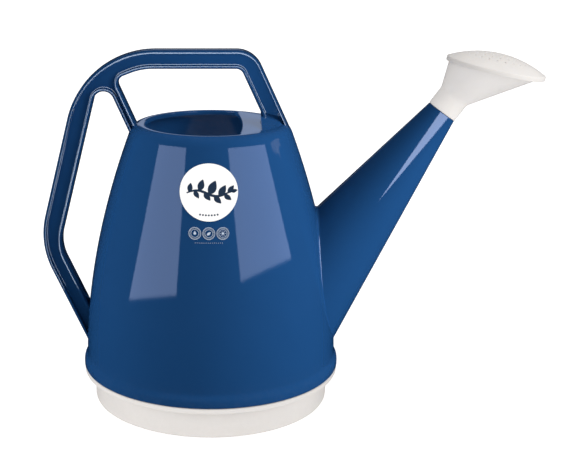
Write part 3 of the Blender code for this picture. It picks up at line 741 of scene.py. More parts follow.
def tank_mesh(sizes, material):
    count = sizes.segments
    low, high = 0.0520, sizes.rim_height - sizes.shoulder_drop
    skins = baked_by_nodes("tank_wall", wall_tree(), {
        "Segments": count, "Rows": 44, "Foot Radius": sizes.foot_radius,
        "Rim Line": sizes.wall_line, "Foot Height": sizes.foot_height,
        "Rim Height": sizes.rim_height, "Low": low, "High": high,
        "Taper Power": sizes.taper_power, "Wall": sizes.wall,
        "Material": material})
    shape = bmesh.new()
    shape.from_mesh(skins)
    bpy.data.meshes.remove(skins)
    top, wall = sizes.rim_height, sizes.wall

    start = (wall_radius(high, sizes), high)
    shoulder = [start] + bend(start, (sizes.wall_line, top),
                              (sizes.rim_outer, top), 18)
    rings = [turned_ring(r, z, count) for r, z in shoulder]
    rings.append([(a * 2 + b) / 3 for a, b in zip(
        rings[-1], opening_ring(sizes, 0.0009, top))])
    for outset, drop in ((0.0009, 0.0), (0.00045, 0.00012), (0.00012, 0.00045),
                         (0.0, 0.0009), (0.0, 0.0036), (0.0003, 0.0042),
                         (0.0009, sizes.lip_depth), (0.0015, sizes.lip_depth),
                         (0.0021, 0.0042), (0.0024, 0.0036), (0.0024, 0.0029)):
        rings.append(opening_ring(sizes, outset, top - drop))
    inner_start = (wall_radius(high, sizes, wall), high)
    inner = bend(inner_start, (sizes.wall_line - wall / 2, top - wall),
                 (sizes.rim_outer + 0.0003, top - wall), 10)
    rings.append([(a * 3 + b) / 4 for a, b in zip(
        opening_ring(sizes, 0.0031, top - wall),
        turned_ring(inner[-1][0], top - wall, count))])
    rings += [turned_ring(r, z, count) for r, z in reversed(inner)]
    rings.append(turned_ring(*inner_start, count))
    add_rings(shape, rings)

    bead, bottom = sizes.bead_radius, sizes.bead_bottom
    foot = [(wall_radius(low, sizes), low),
            (sizes.foot_radius + 0.00002, 0.0500),
            (sizes.foot_radius + 0.00015, 0.0485),
            (sizes.foot_radius + 0.0005, 0.0472),
            (sizes.foot_radius + 0.0011, 0.0460),
            (sizes.foot_radius + 0.0019, 0.0447),
            (bead - 0.0006, 0.0431), (bead - 0.0002, 0.0416),
            (bead, 0.0398), (bead, bottom + 0.0011),
            (bead - 0.0002, bottom + 0.0004), (bead - 0.0007, bottom)]
    skirt = sizes.foot_radius - wall
    foot += [(skirt + 0.0006, bottom), (skirt, bottom + 0.0006),
             (skirt, 0.0377), (skirt + 0.0012, 0.0385),
             (skirt + 0.0012, 0.0411), (skirt, 0.0419),
             (skirt, sizes.foot_height + 0.001),
             (wall_radius(low, sizes, wall), low)]
    add_rings(shape, [turned_ring(r, z, count) for r, z in foot])
    bmesh.ops.remove_doubles(shape, verts=shape.verts, dist=2e-5)
    return mesh_from(shape, "tank_shell", crease=42.0)


def bore_cutter(sizes, wall):
    """The cone of space in the spout, from its root into the tank."""
    slope = math.tan(sizes.half_angle)
    shape = bmesh.new()
    rings = []
    for back in (0.050, 0.300):
        radius = sizes.tip_radius - wall + back * slope
        rings.append(ring_about(SPOUT_TIP - back * SPOUT_AXIS, SPOUT_AXIS,
                                radius, sizes.segments))
    rows = add_rings(shape, rings)
    for row in rows:
        shape.faces.new(row)
    return mesh_from(shape, "spout_bore_cutter")


# ------------------------------------------------------------------ operators

def foot_ramp(tank, handle, shell):
    """Joins to the shell the ramp that leads from the front strut to the rim."""
    shape = bmesh.new()
    shape.from_mesh(shell)
    across, along, top = 20, 12, tank.rim_height
    left, right = handle.foot_x + 0.0006, tank.rim_outer + 0.0024
    reach, clear = tank.rim_outer + 0.0012, handle.depth / 2 + 0.0010
    far = 0.0005 - handle.web / 2
    rows = []
    for i in range(across + 1):
        x = left + (right - left) * i / across
        near = -max(clear, math.sqrt(max(0.0, reach ** 2 - x * x)))
        sink = 0.0009 + 0.42 * max(0.0, x - math.sqrt(reach ** 2 - clear ** 2))
        rise = 0.0115 * (1.0 - 0.45 * i / across)
        row = []
        for j in range(along + 1):
            t = j / along
            fall = (1.0 - t) ** 2 * rise + 2.0 * t * (1.0 - t) * 0.16 * rise
            y = far + (near - far) * (2.0 * t * (1.0 - t) * 0.30 + t * t)
            z = top + fall - sink * t * t
            row.append((shape.verts.new((x, y, z)),
                        shape.verts.new((x, y, min(z, top) - 0.0016))))
        rows.append(row)
    for i in range(across):
        for j in range(along):
            a, b, c, d = rows[i][j], rows[i + 1][j], rows[i + 1][j + 1], rows[i][j + 1]
            shape.faces.new((a[0], d[0], c[0], b[0]))
            shape.faces.new((a[1], b[1], c[1], d[1]))
    for j in range(along):
        for row in (rows[0], rows[-1]):
            shape.faces.new((row[j][0], row[j][1], row[j + 1][1], row[j + 1][0]))
    for i in range(across):
        for j in (0, -1):
            a, b = rows[i][j], rows[i + 1][j]
            shape.faces.new((a[0], b[0], b[1], a[1]))
    return mesh_from(shape, "tank_shell", crease=42.0)


class CAN_OT_tank(bpy.types.Operator):
    """Build the tank's shell with its rim, deck, foot bead and spout hole."""

    bl_idname = "watering_can.tank"
    bl_label = "Tank shell"

    def execute(self, context):
        sizes, spout = context.scene.can_tank, context.scene.can_spout
        material = blue_plastic()
        solid = tank_mesh(sizes, material)
        mesh = with_cuts(solid, [bore_cutter(spout, spout.wall)], "tank_shell",
                         crease=42.0)
        mesh = foot_ramp(sizes, context.scene.can_handle, mesh)
        finish_piece("tank_shell", mesh, "can", "blue_plastic", material,
                     "body_shell")
        return {"FINISHED"}


class CAN_OT_base_cup(bpy.types.Operator):
    """Build the white cup that closes the tank from below."""

    bl_idname = "watering_can.base_cup"
    bl_label = "Base cup"

    def execute(self, context):
        sizes, tank = context.scene.can_cup, context.scene.can_tank
        top = tank.bead_bottom - 0.0003
        under = top - sizes.flange
        inner = sizes.radius - sizes.wall
        spigot = tank.foot_radius - tank.wall - 0.0006
        end = top + sizes.spigot
        seal, snap = top + 0.75 * sizes.spigot, top + 0.38 * sizes.spigot
        foot = sizes.radius - 0.0120
        profile = [
            (0.0002, 0.0030), (0.0580, 0.0030), (0.0610, 0.0042),
            (foot - 0.0024, 0.0042), (foot, 0.0030), (inner - 0.0001, 0.0030),
            (inner, under + 0.0020), (spigot - 0.0040, top),
            (spigot - 0.0040, end), (spigot, end), (spigot, seal + 0.0013),
            (spigot - 0.0020, seal + 0.0013), (spigot - 0.0020, seal - 0.0013),
            (spigot, seal - 0.0013), (spigot, snap + 0.0014),
            (spigot + 0.0006, snap + 0.0004), (spigot + 0.0006, snap - 0.0004),
            (spigot, snap - 0.0014), (spigot, top),
            (sizes.flange_radius, top), (sizes.flange_radius, under),
            (sizes.radius + 0.0002, under), (sizes.radius - 0.0004, 0.0),
            (foot, 0.0), (foot - 0.0024, 0.0012), (0.0609, 0.0012),
            (0.0585, 0.0), (0.0002, 0.0)]
        radii = {2: 0.002, 3: 0.002, 4: 0.001, 5: 0.0028, 6: 0.0016, 7: 0.0012,
                 8: 0.0008, 9: 0.0010, 15: 0.0004, 16: 0.0004, 19: 0.0013,
                 20: 0.0016, 21: 0.0009, 22: 0.0030, 23: 0.0006, 24: 0.001,
                 25: 0.001, 26: 0.0006}
        outline = softened(profile, radii)
        shape = bmesh.new()
        rows = add_rings(shape, [turned_ring(r, z, tank.segments)
                                 for r, z in outline])
        shape.faces.new(rows[0])
        shape.faces.new(rows[-1])
        mesh = mesh_from(shape, "base_cup_white", crease=38.0)
        finish_piece("base_cup_white", mesh, "can", "white_plastic",
                     white_plastic(), "base_cup")
        return {"FINISHED"}


# -------------------------------------------------------------- handle frame

class Line:
    """A straight line in the can's plane, by a point and a heading."""

    def __init__(self, x, z, heading):
        self.point = Vector((x, z))
        self.way = Vector((math.cos(heading), math.sin(heading)))

    def beside(self, distance):
        """The parallel line that far to the left of the heading."""
        moved = self.point + distance * Vector((-self.way.y, self.way.x))
        line = Line(moved.x, moved.y, 0.0)
        line.way = self.way
        return line

    def at_height(self, z):
        reach = (z - self.point.y) / self.way.y
        return self.point + reach * self.way

    def meets(self, other):
        gap = other.point - self.point
        turn = self.way.cross(other.way)
        return self.point + self.way * (gap.cross(other.way) / turn)


def handle_corners(sizes, tank):
    """The frame's outline as (x, z, corner radius), anticlockwise."""
    up = math.pi / 2
    rim = tank.rim_height
    top = HANDLE_HIGH[2]
    edge = 0.0701
    low_z = tank.foot_height + 0.0150
    low_heading = math.atan2(low_z - sizes.elbow_height,
                             -tank.foot_radius - sizes.back_x)
    front_outer = Line(edge + sizes.front_reach, rim, up + sizes.front_lean)
    front_inner = front_outer.beside(sizes.front_width)
    top_outer = Line(0.0, top, math.pi)
    top_inner = top_outer.beside(sizes.grip_height)
    back_outer = Line(sizes.back_x, sizes.elbow_height, -up - sizes.back_lean)
    back_inner = back_outer.beside(sizes.back_width)
    low_outer = Line(sizes.back_x, sizes.elbow_height, low_heading)
    low_inner = low_outer.beside(sizes.low_width)
    rear_right = Line(-edge - sizes.rear_reach, rim, up + sizes.rear_lean)
    rear_left = rear_right.beside(sizes.rear_width)
    nook_at = rear_right.at_height(top - sizes.grip_height - 0.0098)
    nook = Line(nook_at.x, nook_at.y, math.radians(21.0))

    def corner(point, radius=0.0):
        return (point.x, point.y, radius)

    inside = rim - 0.020
    return [
        corner(front_outer.at_height(rim - 0.007)),
        corner(front_outer.meets(top_outer), 0.0270),
        corner(top_outer.meets(back_outer), 0.0900),
        corner(back_outer.meets(low_outer), 0.0850),
        corner(low_outer.at_height(low_z - 0.009)),
        corner(low_inner.at_height(low_z + 0.022)),
        corner(low_inner.meets(back_inner), 0.0450),
        corner(back_inner.meets(rear_left), 0.0100),
        corner(rear_left.at_height(inside)),
        corner(rear_right.at_height(inside)),
        corner(rear_right.meets(nook), 0.0080),
        corner(nook.meets(top_inner), 0.0600),
        corner(top_inner.meets(front_inner), 0.0080),
        corner(front_inner.at_height(rim + 0.0080), 0.0050),
        (sizes.foot_x, rim - 0.0020, 0.0),
        (sizes.foot_x, inside, 0.0),
        (edge + sizes.front_reach - 0.006, inside, 0.0),
    ]


def inset_corners(corners, distance):
    """The outline moved inwards, with its corner radii to match."""
    moved = []
    for i, (x, z, radius) in enumerate(corners):
        here = Vector((x, z))
        before = Vector(corners[i - 1][:2])
        after = Vector(corners[(i + 1) % len(corners)][:2])
        came = (here - before).normalized()
        goes = (after - here).normalized()
        first = Line(here.x, here.y, math.atan2(came.y, came.x))
        second = Line(here.x, here.y, math.atan2(goes.y, goes.x))
        turn = came.cross(goes)
        place = first.beside(distance).meets(second.beside(distance))
        if radius:
            radius = max(radius - math.copysign(distance, turn), 0.0004)
        moved.append((place.x, place.y, radius))
    return moved


def rounded_outline(corners, counts):
    """Points round an outline, with a fixed number on each corner's arc."""
    points = []
    for i, (x, z, radius) in enumerate(corners):
        here = Vector((x, z))
        if not radius:
            points.append(here)
            continue
        before = (Vector(corners[i - 1][:2]) - here).normalized()
        after = (Vector(corners[(i + 1) % len(corners)][:2]) - here).normalized()
        half = before.angle(after) / 2
        centre = here + (before + after).normalized() * (radius / math.sin(half))
        first = here + before * (radius / math.tan(half)) - centre
        sweep = math.pi - 2 * half
        if before.cross(after) > 0:
            sweep = -sweep
        start = math.atan2(first.y, first.x)
        for step in range(counts[i] + 1):
            turn = start + sweep * step / counts[i]
            points.append(centre + radius * Vector((math.cos(turn), math.sin(turn))))
    return points


def arc_counts(corners, step=math.radians(3.0)):
    counts = []
    for i, corner in enumerate(corners):
        here = Vector(corner[:2])
        came = here - Vector(corners[i - 1][:2])
        goes = Vector(corners[(i + 1) % len(corners)][:2]) - here
        counts.append(max(4, math.ceil(came.angle(goes) / step)))
    return counts


def handle_section(sizes):
    """(inset from the edge, distance from the middle plane) down one side."""
    half, web, bead = sizes.depth / 2, sizes.web / 2, sizes.bead
    crest = bead - 0.0003
    outer = [(crest * (1.0 - math.cos(turn)), half - 0.0052 * (1.0 - math.sin(turn)))
             for turn in (math.radians(d) for d in (0, 14, 28, 42, 55, 66, 76, 84, 90))]
    return outer + [
        (bead - 0.0001, half - 0.0001), (bead, half - 0.0003),
        (bead + 0.0001, half - 0.0035), (bead + 0.00015, web + 0.00025),
        (bead + 0.00025, web + 0.00007), (bead + 0.0004, web), (bead + 0.0009, web),
    ]


def handle_mesh(sizes, tank):
    corners = handle_corners(sizes, tank)
    counts = arc_counts(corners)
    section = handle_section(sizes)
    outlines = {inset: rounded_outline(inset_corners(corners, inset), counts)
                for inset, _ in section}
    shape = bmesh.new()
    rings = []
    for side, rows in ((-1.0, reversed(section)), (1.0, section)):
        for inset, away in rows:
            rings.append([Vector((p.x, side * away, p.y)) for p in outlines[inset]])
    rows = add_rings(shape, rings)
    for row in (rows[0], rows[-1]):
        for corners_of in tessellate_polygon([[vert.co for vert in row]]):
            shape.faces.new([row[i] for i in corners_of])
    return mesh_from(shape, "handle_frame_blue", crease=50.0)


def tank_core_cutter(tank, sink):
    """The tank's filled outside, a little smaller, to trim what stands on it."""
    high = tank.rim_height - tank.shoulder_drop
    top = tank.rim_height - sink
    points = [(0.0002, top), (tank.rim_outer, top)]
    start = (wall_radius(high, tank, sink), high)
    points += reversed([start] + bend(
        start, (tank.wall_line - sink, top), (tank.rim_outer, top), 12)[:-1])
    for i in range(1, 25):
        height = high + (0.040 - high) * i / 24
        points.append((wall_radius(height, tank, sink), height))
    points.append((0.0002, 0.040))
    shape = bmesh.new()
    rows = add_rings(shape, [turned_ring(r, z, 120) for r, z in points])
    shape.faces.new(rows[0])
    shape.faces.new(rows[-1])
    return mesh_from(shape, "tank_core_cutter")


class CAN_OT_handle(bpy.types.Operator):
    """Build the I-section handle frame with its rounded beads."""

    bl_idname = "watering_can.handle"
    bl_label = "Handle frame"

    def execute(self, context):
        sizes, tank = context.scene.can_handle, context.scene.can_tank
        mesh = with_cuts(handle_mesh(sizes, tank),
                         [tank_core_cutter(tank, 0.0006)], "handle_frame_blue",
                         crease=50.0)
        finish_piece("handle_frame_blue", mesh, "can", "blue_plastic",
                     blue_plastic(), "handle_frame")
        return {"FINISHED"}


# --------------------------------------------------------------------- spout

def off_wall(point, tank):
    """Distance of a point outside the tank's wall, and the way out there."""
    slope = wall_slope(point.z, tank)
    flat = math.hypot(point.x, point.y)
    scale = 1.0 / math.sqrt(1.0 + slope * slope)
    out = Vector((point.x / flat, point.y / flat, -slope)) * scale
    return (flat - wall_radius(point.z, tank)) * scale, out


def cone_meets_wall(radial, lift, depth, sizes, tank, wall=0.0):
    """A point on the spout's cone, lifted off it, that far off the wall."""
    tilt = sizes.half_angle
    out = radial * math.cos(tilt) + SPOUT_AXIS * math.sin(tilt)

    def place(back):
        radius = sizes.tip_radius - wall + back * math.tan(tilt)
        return SPOUT_TIP - back * SPOUT_AXIS + radius * radial + lift * out

    near, far = 0.060, 0.330
    for _ in range(60):
        middle = (near + far) / 2
        if off_wall(place(middle), tank)[0] > depth:
            near = middle
        else:
            far = middle
    return place(near), out


def spout_mesh(sizes, tank):
    across = across_from(SPOUT_AXIS)
    fillet = sizes.root_fillet
    columns = []
    for i in range(sizes.segments):
        turn = 2 * math.pi * i / sizes.segments
        radial = math.cos(turn) * across + math.sin(turn) * SIDEWAYS
        bore, _ = cone_meets_wall(radial, 0.0, -0.0012, sizes, tank, sizes.wall)
        core, _ = cone_meets_wall(radial, 0.0, -0.0012, sizes, tank)
        middle, out = cone_meets_wall(radial, fillet, fillet, sizes, tank)
        wall_way = off_wall(middle, tank)[1]
        column = [bore, core]
        arc = wall_way.angle(out)
        for step in range(9):
            part = step / 8
            way = (math.sin((1 - part) * arc) * wall_way
                   + math.sin(part * arc) * out) / math.sin(arc)
            reach = fillet + (0.00025 if step == 0 else 0.0)
            column.append(middle - reach * way)
        joint = middle - fillet * out
        start = (SPOUT_TIP - joint).dot(SPOUT_AXIS)
        for step in range(1, 25):
            back = start + (0.0012 - start) * step / 24
            radius = sizes.tip_radius + back * math.tan(sizes.half_angle)
            column.append(SPOUT_TIP - back * SPOUT_AXIS + radius * radial)
        columns.append((column, radial))

    half = sizes.ring_section + 0.0003
    floor = sizes.nozzle_radius - 2 * sizes.ring_section - 0.0002
    nozzle = softened([
        (sizes.tip_radius + 0.0002, -0.0012), (sizes.tip_radius, 0.0),
        (sizes.nozzle_radius, 0.0),
        (sizes.nozzle_radius, sizes.groove_place - half),
        (floor, sizes.groove_place - half), (floor, sizes.groove_place + half),
        (sizes.nozzle_radius, sizes.groove_place + half),
        (sizes.nozzle_radius, sizes.nozzle_length),
        (sizes.nozzle_bore, sizes.nozzle_length), (sizes.nozzle_bore, 0.0010),
        (sizes.tip_radius - sizes.wall + 0.0080 * math.tan(sizes.half_angle),
         -0.0080)],
        {1: 0.0007, 2: 0.0005, 3: 0.0002, 6: 0.0002, 7: 0.0009, 8: 0.0004,
         9: 0.0015})[1:]
    for column, radial in columns:
        column += [SPOUT_TIP + place * SPOUT_AXIS + radius * radial
                   for radius, place in nozzle]
    shape = bmesh.new()
    rings = [list(ring) for ring in zip(*(column for column, _ in columns))]
    add_rings(shape, rings, closed=True)
    return mesh_from(shape, "spout_blue", crease=40.0)


class CAN_OT_spout(bpy.types.Operator):
    """Build the conical spout with its root fillet and nozzle."""

    bl_idname = "watering_can.spout"
    bl_label = "Spout"

    def execute(self, context):
        scene = context.scene
        mesh = spout_mesh(scene.can_spout, scene.can_tank)
        finish_piece("spout_blue", mesh, "can", "blue_plastic", blue_plastic(),
                     "spout_tube")
        return {"FINISHED"}


# ---------------------------------------------------------------------- rose

FACE_WALL = 0.0018


def rose_frame(sizes):
    """The centre of the rose's face and the way the face looks."""
    centre = (SPOUT_TIP + sizes.along * SPOUT_AXIS
              + sizes.aside * across_from(SPOUT_AXIS))
    facing = Matrix.Rotation(-sizes.tilt, 3, "Y") @ SPOUT_AXIS
    return centre, facing.normalized()


def funnel_mesh(sizes):
    centre, facing = rose_frame(sizes)
    count = sizes.segments
    rim = sizes.radius - FACE_WALL - 0.0003 - 0.0010

    def neck(radius, place):
        return ring_about(SPOUT_TIP + place * SPOUT_AXIS, SPOUT_AXIS, radius, count)

    def mouth(radius, place):
        return ring_about(centre + place * facing, facing, radius, count)

    def between(first, last, part):
        return [a.lerp(b, part) for a, b in zip(first, last)]

    neck_end = neck(sizes.neck_radius, sizes.neck_length)
    bore_end = neck(sizes.neck_bore, sizes.neck_length)
    low_rim, inner_rim = mouth(rim, -0.0004), mouth(rim - 0.0020, 0.0002)
    rings = [neck(sizes.neck_bore + 0.0006, 0.0003),
             neck(sizes.neck_radius - 0.0006, 0.0003),
             neck(sizes.neck_radius - 0.0002, 0.0006),
             neck(sizes.neck_radius, 0.0011)]
    rings += [neck(sizes.neck_radius, place)
              for place in (0.005, 0.010, 0.0150, sizes.neck_length - 0.0022)]
    corner = between(neck_end, low_rim, 0.055)
    before = neck(sizes.neck_radius, sizes.neck_length - 0.0022)
    for part in (0.25, 0.5, 0.75):
        rings.append([a * (1 - part) ** 2 + m * 2 * part * (1 - part) + b * part ** 2
                      for a, m, b in zip(before, neck_end, corner)])
    rings += [between(neck_end, low_rim, part)
              for part in (0.055, 0.2, 0.4, 0.6, 0.8, 0.97)]
    rings += [mouth(rim + 0.0003, -0.0003), mouth(rim + 0.0008, -0.0001),
              mouth(rim + 0.0010, 0.0003), mouth(rim + 0.0010, 0.0012),
              mouth(rim + 0.0007, 0.0015), mouth(rim - 0.0014, 0.0015),
              mouth(rim - 0.0019, 0.0010), inner_rim]
    rings += [between(bore_end, inner_rim, part)
              for part in (0.8, 0.6, 0.4, 0.2, 0.05, 0.0)]
    rings += [neck(sizes.neck_bore, place) for place in (0.012, 0.0012)]
    shape = bmesh.new()
    add_rings(shape, rings, closed=True)
    return mesh_from(shape, "rose_funnel_white", crease=33.0)


def dome_profile(edge_radius, edge_height, rise, steps):
    """A round dome from its top on the axis out to its edge."""
    ball = (edge_radius ** 2 + rise ** 2) / (2 * rise)
    reach = math.asin(edge_radius / ball)
    middle = edge_height + rise - ball
    return [(ball * math.sin(reach * i / steps),
             middle + ball * math.cos(reach * i / steps))
            for i in range(steps + 1)]


def perforate_tree():
    """Geometry Nodes: rings of holes, square to a dome, cut through it."""
    tree, given, result = new_tree("Perforated dome", "GeometryNodeTree", [
        ("in", "Geometry", "Geometry", None), ("in", "Int", "Rings", 4),
        ("in", "Float", "Ring Step", 0.0078), ("in", "Float", "Hole Radius", 0.0009),
        ("in", "Float", "Ball Radius", 0.1), ("in", "Float", "Ball Centre", -0.09),
        ("in", "Material", "Material", None), ("out", "Geometry", "Geometry", None)])
    rings = given["Rings"]
    total = calc(tree, "ADD", 1.0, calc(tree, "MULTIPLY", 3.0, calc(
        tree, "MULTIPLY", rings, calc(tree, "ADD", rings, 1.0))))
    index = put(tree, "GeometryNodeInputIndex").outputs[0]
    root = calc(tree, "SQRT", calc(tree, "ADD", 9.0,
                                   calc(tree, "MULTIPLY", index, 12.0)))
    ring = calc(tree, "CEIL", calc(tree, "DIVIDE", calc(
        tree, "SUBTRACT", root, 3.0001), 6.0))
    first = calc(tree, "ADD", 1.0, calc(tree, "MULTIPLY", 3.0, calc(
        tree, "MULTIPLY", ring, calc(tree, "SUBTRACT", ring, 1.0))))
    turn = calc(tree, "DIVIDE", calc(tree, "MULTIPLY", calc(
        tree, "SUBTRACT", index, first), math.tau),
        calc(tree, "MAXIMUM", 1.0, calc(tree, "MULTIPLY", ring, 6.0)))
    lean = calc(tree, "DIVIDE", calc(tree, "MULTIPLY", ring, given["Ring Step"]),
                given["Ball Radius"])
    flat = calc(tree, "MULTIPLY", given["Ball Radius"], calc(tree, "SINE", lean))
    height = calc(tree, "ADD", given["Ball Centre"], calc(
        tree, "MULTIPLY", given["Ball Radius"], calc(tree, "COSINE", lean)))
    place = put(tree, "ShaderNodeCombineXYZ", {
        0: calc(tree, "MULTIPLY", flat, calc(tree, "COSINE", turn)),
        1: calc(tree, "MULTIPLY", flat, calc(tree, "SINE", turn)), 2: height})
    points = put(tree, "GeometryNodePoints", {
        "Count": total, "Position": place.outputs[0]})
    facing = put(tree, "ShaderNodeCombineXYZ", {0: 0.0, 1: lean, 2: turn})
    pin = put(tree, "GeometryNodeMeshCylinder", {
        "Vertices": 16, "Radius": given["Hole Radius"], "Depth": 0.008})
    flare = put(tree, "GeometryNodeMeshCone", {
        "Vertices": 16, "Radius Top": calc(tree, "MULTIPLY", given["Hole Radius"], 1.9),
        "Radius Bottom": calc(tree, "MULTIPLY", given["Hole Radius"], 0.7),
        "Depth": 0.0013})
    lifted = put(tree, "GeometryNodeTransform", {
        "Geometry": flare.outputs[0], "Translation": (0.0, 0.0, -0.0008)})
    for shape in (pin, lifted):
        spread = put(tree, "GeometryNodeInstanceOnPoints", {
            "Points": points.outputs[0], "Instance": shape.outputs[0],
            "Rotation": facing.outputs[0]})
        real = put(tree, "GeometryNodeRealizeInstances", {0: spread.outputs[0]})
        start = given["Geometry"] if shape is pin else cut.outputs[0]
        cut = put(tree, "GeometryNodeMeshBoolean", {
            "Mesh 1": start, "Mesh 2": real.outputs[0]},
            operation="DIFFERENCE", solver="EXACT")
    real = put(tree, "GeometryNodeRealizeInstances", {0: cut.outputs[0]})
    painted = put(tree, "GeometryNodeSetMaterial", {
        "Geometry": real.outputs[0], "Material": given["Material"]})
    tree.links.new(painted.outputs[0], result.inputs[0])
    arrange(tree)
    return tree


def face_mesh(sizes, material):
    outer = sizes.radius
    inner = outer - FACE_WALL
    edge = outer - 1.5 * FACE_WALL
    rim_gap = inner - 0.0010
    profile = dome_profile(edge, 0.0030, sizes.dome, 22)
    rim = softened([
        profile[-1], (outer - 0.0003, 0.0019), (outer, 0.0008),
        (outer, -0.0028), (rim_gap, -0.0028), (rim_gap, -0.0012),
        (inner, -0.0006), (inner, 0.0018), (inner - 0.0030, 0.0022)],
        {1: 0.0008, 2: 0.0006, 3: 0.0008, 4: 0.0004, 5: 0.0003, 6: 0.0003,
         7: 0.0005}, 3)
    hollow = dome_profile(inner - 0.0030, 0.0022, sizes.dome - 0.0009, 18)
    profile += rim[1:-1] + list(reversed(hollow))
    shape = bmesh.new()
    add_rings(shape, [turned_ring(max(r, 1e-7), z, sizes.segments)
                      for r, z in profile])
    bmesh.ops.remove_doubles(shape, verts=shape.verts, dist=2e-6)
    dome = mesh_from(shape, "rose_dome")
    ball = (edge ** 2 + sizes.dome ** 2) / (2 * sizes.dome)
    made = baked_by_nodes("rose_face_white", perforate_tree(), {
        "Rings": sizes.hole_rings, "Ring Step": sizes.hole_step,
        "Hole Radius": sizes.hole, "Ball Radius": ball,
        "Ball Centre": 0.0030 + sizes.dome - ball, "Material": material}, dome)
    centre, facing = rose_frame(sizes)
    matrix = Matrix((SIDEWAYS.cross(facing), SIDEWAYS, facing))
    matrix = matrix.transposed().to_4x4()
    matrix.translation = centre
    made.transform(matrix)
    return smooth_mesh(made, 33.0)


class CAN_OT_rose(bpy.types.Operator):
    """Build the rose: a funnel with its neck, and the perforated face."""

    bl_idname = "watering_can.rose"
    bl_label = "Rose"

    def execute(self, context):
        sizes, white = context.scene.can_rose, white_plastic()
        finish_piece("rose_funnel_white", funnel_mesh(sizes), "rose",
                     "white_plastic", white, "rose_funnel")
        finish_piece("rose_face_white", face_mesh(sizes, white), "rose",
                     "white_plastic", white, "rose_face_plate")
        return {"FINISHED"}


def torus_mesh(name, radius, section, centre, axis, segments):
    rings, steps = [], 18
    for step in range(steps):
        turn = 2 * math.pi * step / steps
        rings.append(ring_about(centre + section * math.sin(turn) * axis, axis,
                                radius + section * math.cos(turn), segments))
    shape = bmesh.new()
    add_rings(shape, rings, closed=True)
    return mesh_from(shape, name, crease=60.0)


class CAN_OT_seals(bpy.types.Operator):
    """Build the two rubber rings that seal the base cup and the rose."""

    bl_idname = "watering_can.seals"
    bl_label = "Seals"

    def execute(self, context):
        scene = context.scene
        rubber = seal_rubber()
        low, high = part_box("base_seal")
        base = torus_mesh("base_seal_rubber", high[1] - 0.0010, 0.0010,
                          Vector((0.0, 0.0, (low[2] + high[2]) / 2)),
                          Vector((0.0, 0.0, 1.0)), scene.can_tank.segments)
        finish_piece("base_seal_rubber", base, "can", "black_rubber", rubber,
                     "base_seal")
        spout = scene.can_spout
        place = SPOUT_TIP + spout.groove_place * SPOUT_AXIS
        low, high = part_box("rose_seal_ring")
        section = spout.ring_section
        ring = torus_mesh("rose_seal_rubber", high[1] - section, section, place,
                          SPOUT_AXIS, 96)
        finish_piece("rose_seal_rubber", ring, "ring", "black_rubber", rubber,
                     "rose_seal_ring")
        return {"FINISHED"}


# -------------------------------------------------------------------- labels

def on_wall(x, height, lift, tank):
    """A point that far off the tank's front wall."""
    radius = wall_radius(height, tank)
    out = Vector((x / radius, -math.sqrt(1.0 - (x / radius) ** 2),
                  -wall_slope(height, tank))).normalized()
    return Vector((x, -math.sqrt(radius ** 2 - x ** 2), height)) + lift * out


def add_film(shape, rows, centre, lift, thickness, tank, cyclic=False, core=False):
    """Adds a closed thin film through rows of flat points about a centre."""
    lean = math.cos(math.atan(wall_slope(centre[1], tank)))
    tops, lows = ([[shape.verts.new(on_wall(centre[0] + u, centre[1] + v * lean,
                                            level, tank)) for u, v in row]
                   for row in rows] for level in (lift + thickness, lift))
    steps = len(rows) if cyclic else len(rows) - 1
    wide = len(rows[0])
    for i in range(steps):
        j = (i + 1) % len(rows)
        for k in range(wide - 1):
            shape.faces.new((tops[i][k], tops[i][k + 1], tops[j][k + 1], tops[j][k]))
            shape.faces.new((lows[i][k], lows[j][k], lows[j][k + 1], lows[i][k + 1]))
        for k in (0, wide - 1):
            if not (core and k == 0):
                shape.faces.new((tops[i][k], tops[j][k], lows[j][k], lows[i][k]))
    if not cyclic:
        for i in (0, -1):
            for k in range(wide - 1):
                shape.faces.new((tops[i][k], lows[i][k], lows[i][k + 1],
                                 tops[i][k + 1]))
    if core:
        shape.faces.new([row[0] for row in tops])
        shape.faces.new([row[0] for row in lows])


def stroke(points, widths):
    """Rows across a line of (x, height) points, as wide as given at each."""
    rows = []
    for i, point in enumerate(points):
        ahead = Vector(points[min(i + 1, len(points) - 1)])
        behind = Vector(points[max(i - 1, 0)])
        way = (ahead - behind).normalized()
        across = Vector((-way.y, way.x)) * widths[i] / 2
        here = Vector(point)
        rows.append([tuple(here + across * part) for part in (-1.0, 0.0, 1.0)])
    return rows


def disc_rows(x, y, radii, count):
    return [[(x + r * math.cos(turn), y + r * math.sin(turn)) for r in radii]
            for turn in (2 * math.pi * i / count for i in range(count))]


def leaf_rows(root, heading, long, wide, count=14):
    """Rows across a pointed leaf that grows from its root."""
    way = Vector((math.cos(heading), math.sin(heading)))
    across = Vector((-way.y, way.x))
    rows = []
    for i in range(count + 1):
        part = 0.02 + 0.96 * i / count
        half = 0.5 * wide * math.sin(math.pi * part ** 0.85) ** 0.9
        curl = 0.10 * long * part * part
        middle = Vector(root) + way * long * part + across * curl
        rows.append([tuple(middle + across * half * k / 3) for k in range(-3, 4)])
    return rows


